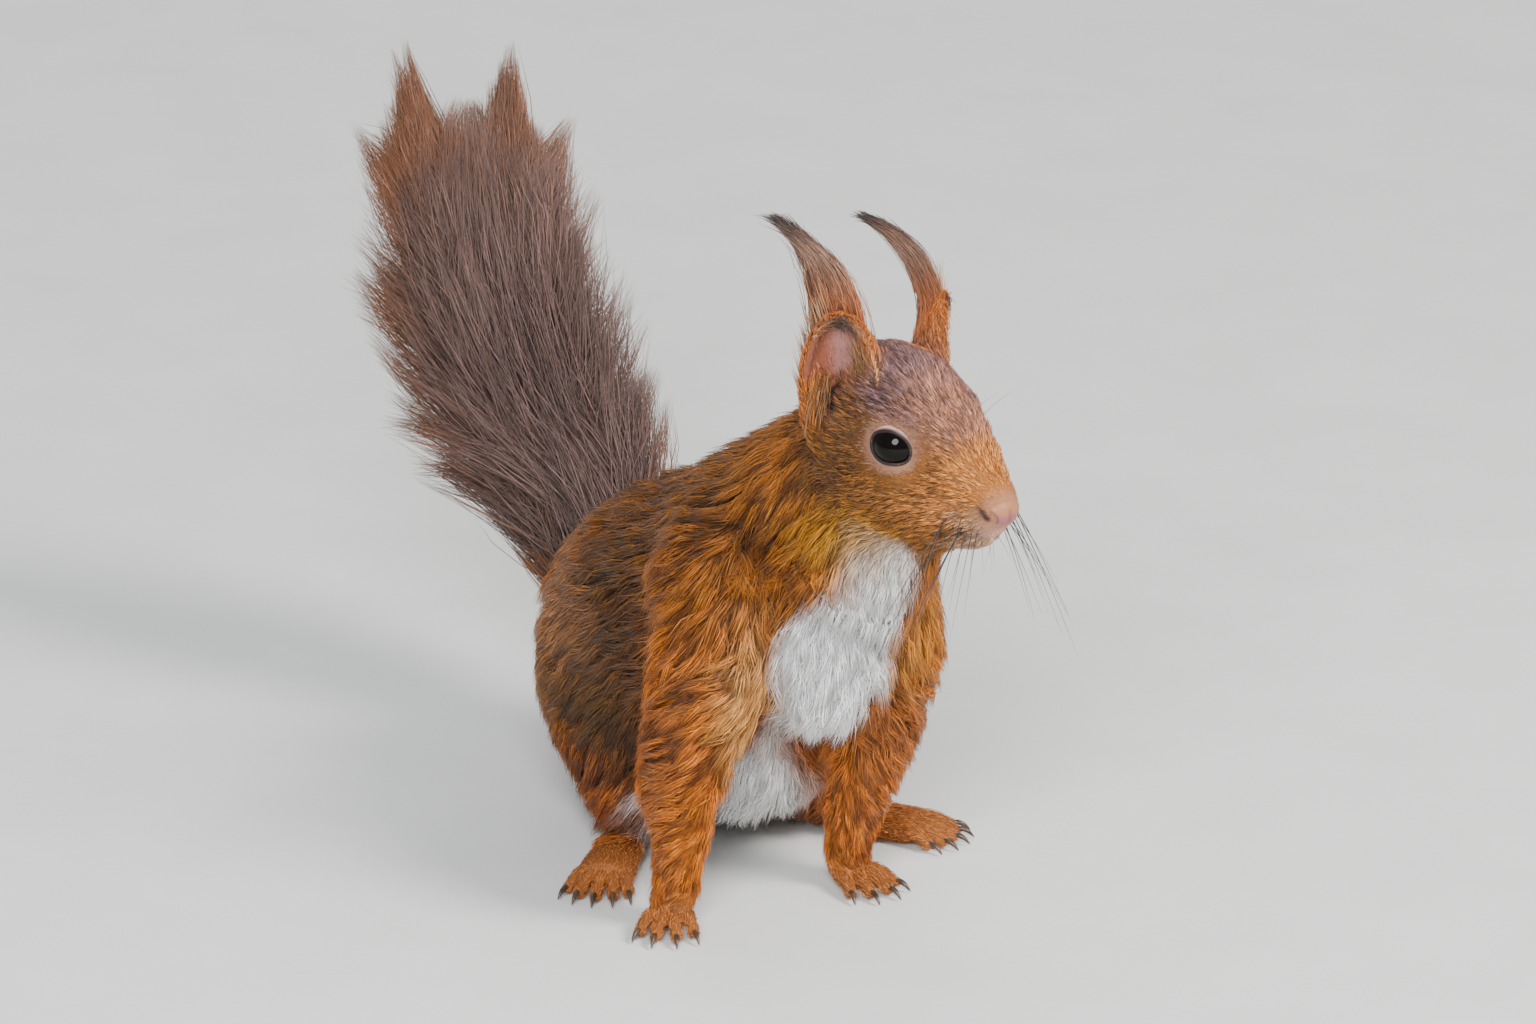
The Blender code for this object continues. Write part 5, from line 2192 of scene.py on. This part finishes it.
def ramped(
    tree: NodeTree,
    shader: Node,
    factor: NodeSocket,
    stops: tuple[tuple[float, Triple], tuple[float, Triple]],
) -> None:
    """Gives a shader a colour that changes between two.

    Args:
        tree: The material's nodes.
        shader: Its Principled shader.
        factor: What the colour changes with.
        stops: A place and a colour for each end of the change.
    """
    ramp = tree.nodes.new("ShaderNodeValToRGB")
    for element, (place, colour) in zip(ramp.color_ramp.elements, stops):
        element.position = place
        element.color = (*colour, 1.0)
    tree.links.new(factor, ramp.inputs["Fac"])
    tree.links.new(ramp.outputs["Color"], shader.inputs["Base Color"])


def bumped(
    tree: NodeTree,
    shader: Node,
    height: NodeSocket,
    strength: float,
    distance: float,
) -> None:
    """Gives a shader a bump.

    Args:
        tree: The material's nodes.
        shader: Its Principled shader.
        height: Where its height comes from.
        strength: How strong it is.
        distance: How high it is, in metres.
    """
    bump = tree.nodes.new("ShaderNodeBump")
    settle(bump, {"Strength": strength, "Distance": distance})
    tree.links.new(height, bump.inputs["Height"])
    tree.links.new(bump.outputs["Normal"], shader.inputs["Normal"])


@dataclass(frozen=True)
class Finish:
    """A material that is made once and then found by its name."""

    name: str

    def material(self) -> Material:
        """Finds the material, or makes it."""
        made = bpy.data.materials.get(self.name)
        if made is None:
            made = bpy.data.materials.new(self.name)
            made.use_nodes = True
            self.draw(made.node_tree, made.node_tree.nodes["Principled BSDF"])
        return made

    def draw(self, tree: NodeTree, shader: Node) -> None:
        """Sets the nodes up, each kind of finish in its own way."""
        raise NotImplementedError


@dataclass(frozen=True)
class FurFinish(Finish):
    """Hair: the coat's own colour, a soft sheen and a broad gloss."""

    name: str = "short_hair"
    roughness: float = 0.55
    sheen: float = 0.06
    specular: float = 0.35
    sheen_roughness: float = 0.4

    def draw(self, tree: NodeTree, shader: Node) -> None:
        """Sets the nodes up."""
        painted(tree, shader)
        settle(shader, {"Roughness": self.roughness, "Specular IOR Level": self.specular})
        settle(shader, {"Sheen Weight": self.sheen, "Sheen Roughness": self.sheen_roughness})


@dataclass(frozen=True)
class SkinFinish(Finish):
    """Skin in the colours it carries, with a fine grain along the surface."""

    name: str = "skin"
    roughness: float = 0.7
    grain: float = 1400.0
    depth: float = 0.5
    specular: float = 0.3

    def draw(self, tree: NodeTree, shader: Node) -> None:
        """Sets the nodes up."""
        mottle = painted(tree, shader)
        settle(mottle, {"Fine": self.grain, "Depth": self.depth})
        bumped(tree, shader, mottle.outputs["Value"], 0.5, 0.0003)
        settle(shader, {"Roughness": self.roughness, "Specular IOR Level": self.specular})


@dataclass(frozen=True)
class EyeFinish(Finish):
    """A wet, nearly black eye with a hint of brown."""

    name: str = "eye_wet"
    dark: Triple = (0.0022, 0.0014, 0.0012)
    brown: Triple = (0.0045, 0.0024, 0.0018)
    scale: float = 260.0

    def draw(self, tree: NodeTree, shader: Node) -> None:
        """Sets the nodes up."""
        pattern = noise(tree, 2.0)
        settle(pattern, {"Scale": self.scale})
        ramped(tree, shader, pattern.outputs["Fac"], ((0.0, self.dark), (1.0, self.brown)))
        settle(shader, {"Roughness": 0.03, "Specular IOR Level": 0.15})


@dataclass(frozen=True)
class BareFinish(Finish):
    """A bare surface: a colour broken up by a fine grain, with a bump of the same grain."""

    pale: Triple
    deep: Triple
    roughness: float
    scale: float
    bump: float

    def draw(self, tree: NodeTree, shader: Node) -> None:
        """Sets the nodes up."""
        pattern = noise(tree, 4.0)
        settle(pattern, {"Scale": self.scale})
        ramped(tree, shader, pattern.outputs["Fac"], ((0.32, self.deep), (0.68, self.pale)))
        bumped(tree, shader, pattern.outputs["Fac"], self.bump, 0.0002)
        settle(shader, {"Roughness": self.roughness})


LID_SKIN = SkinFinish("lid_skin", 0.45, 2600.0, 0.2)
NOSE_SKIN = SkinFinish("nose_skin", 0.45, 2600.0, 0.12)
LONG_HAIR = FurFinish("long_hair", 0.5, 0.1)
CLAW_HORN = BareFinish("claw_horn", linear(86, 66, 52), linear(48, 36, 30), 0.3, 600.0, 0.2)
WHISKER_HAIR = BareFinish("whisker", linear(52, 44, 40), linear(30, 26, 24), 0.35, 400.0, 0.0)
FLOOR_PAPER = BareFinish("floor_paper", linear(226, 226, 222), linear(220, 220, 216), 0.9, 30.0, 0.0)


# ---- Studio ----


@dataclass
class Studio:
    """A pale floor, soft light and the camera."""

    anatomy: Anatomy
    azimuth: float = math.radians(-20.0)
    elevation: float = math.radians(20.0)
    aim: Pair = (17.4, 72.0)
    distance: float = 3000.0
    view_width: float = 333.9
    sensor: float = 36.0
    lit: Triple = (0.0, 0.0, 0.08)

    def build(self) -> None:
        """Sets the studio up."""
        self.floor()
        self.world()
        self.light("key", (0.8, -0.95, 1.15), 0.6, 31.0, (1.0, 0.98, 0.95))
        self.light("front", (-0.5, -1.05, 0.81), 0.66, 25.0, (0.92, 0.96, 1.0))
        self.light("back", (0.2, 1.3, 1.1), 0.9, 8.0, (1.0, 1.0, 1.0))
        self.camera()

    def camera(self) -> None:
        """Places the camera and makes it the scene's."""
        c, s = math.cos(self.azimuth), math.sin(self.azimuth)
        right = np.array([c, s, 0.0])
        level, rise = math.cos(self.elevation), math.sin(self.elevation)
        back = np.array([s * level, -c * level, rise])
        up = np.cross(back, right)
        target = right * self.aim[0] + up * self.aim[1]
        place = self.anatomy.world((target + back * self.distance)[None])[0]
        data = bpy.data.cameras.new("camera")
        data.sensor_width = self.sensor
        data.lens = self.sensor * self.distance / self.view_width
        data.clip_start = 0.1
        data.clip_end = 20.0
        camera = linked("camera", data)
        matrix = Matrix((right, up, back)).transposed().to_4x4()
        matrix.translation = Vector(place)
        camera.matrix_world = matrix
        bpy.context.scene.camera = camera

    def light(self, name: str, place: Triple, size: float, power: float, colour: Triple) -> None:
        """Hangs a soft panel that faces the animal.

        Args:
            name: The light's name.
            place: Its place, in metres.
            size: Its width, in metres.
            power: Its power, in watts.
            colour: Its colour.
        """
        data = bpy.data.lights.new(name, "AREA")
        data.shape = "DISK"
        data.size = size
        data.energy = power
        data.color = colour
        lamp = linked(name, data)
        lamp.location = place
        lamp.rotation_euler = (Vector(self.lit) - Vector(place)).to_track_quat("-Z", "Y").to_euler()

    def world(self) -> None:
        """Fills the room with even light."""
        made = bpy.data.worlds.new("room")
        made.use_nodes = True
        shade = made.node_tree.nodes["Background"]
        shade.inputs["Color"].default_value = (0.86, 0.90, 0.95, 1.0)
        shade.inputs["Strength"].default_value = 0.45
        bpy.context.scene.world = made

    def floor(self) -> None:
        """Lays the floor."""
        shape = bmesh.new()
        bmesh.ops.create_grid(shape, x_segments=2, y_segments=2, size=4.0)
        mesh = mesh_from(shape, "floor")
        mesh.materials.append(FLOOR_PAPER.material())
        floor = linked("floor", mesh)


def main() -> None:
    """Builds the animal from the skin outwards, then the studio round it."""
    logging.basicConfig(level=logging.INFO, format="%(relativeCreated)d ms  %(message)s")
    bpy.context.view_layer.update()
    anatomy = Anatomy()
    skin = Skin(anatomy, Palette(anatomy))
    skin.build()
    Fleece(skin).build()
    Brush(skin).build()
    for ear in EARS:
        EarTuft(skin, ear).build()
    for side in Side:
        Eye(anatomy, side).build()
    Nose(anatomy).build()
    Claws(anatomy).build()
    Whiskers(anatomy).build()
    Studio(anatomy).build()


if __name__ == "__main__":
    main()
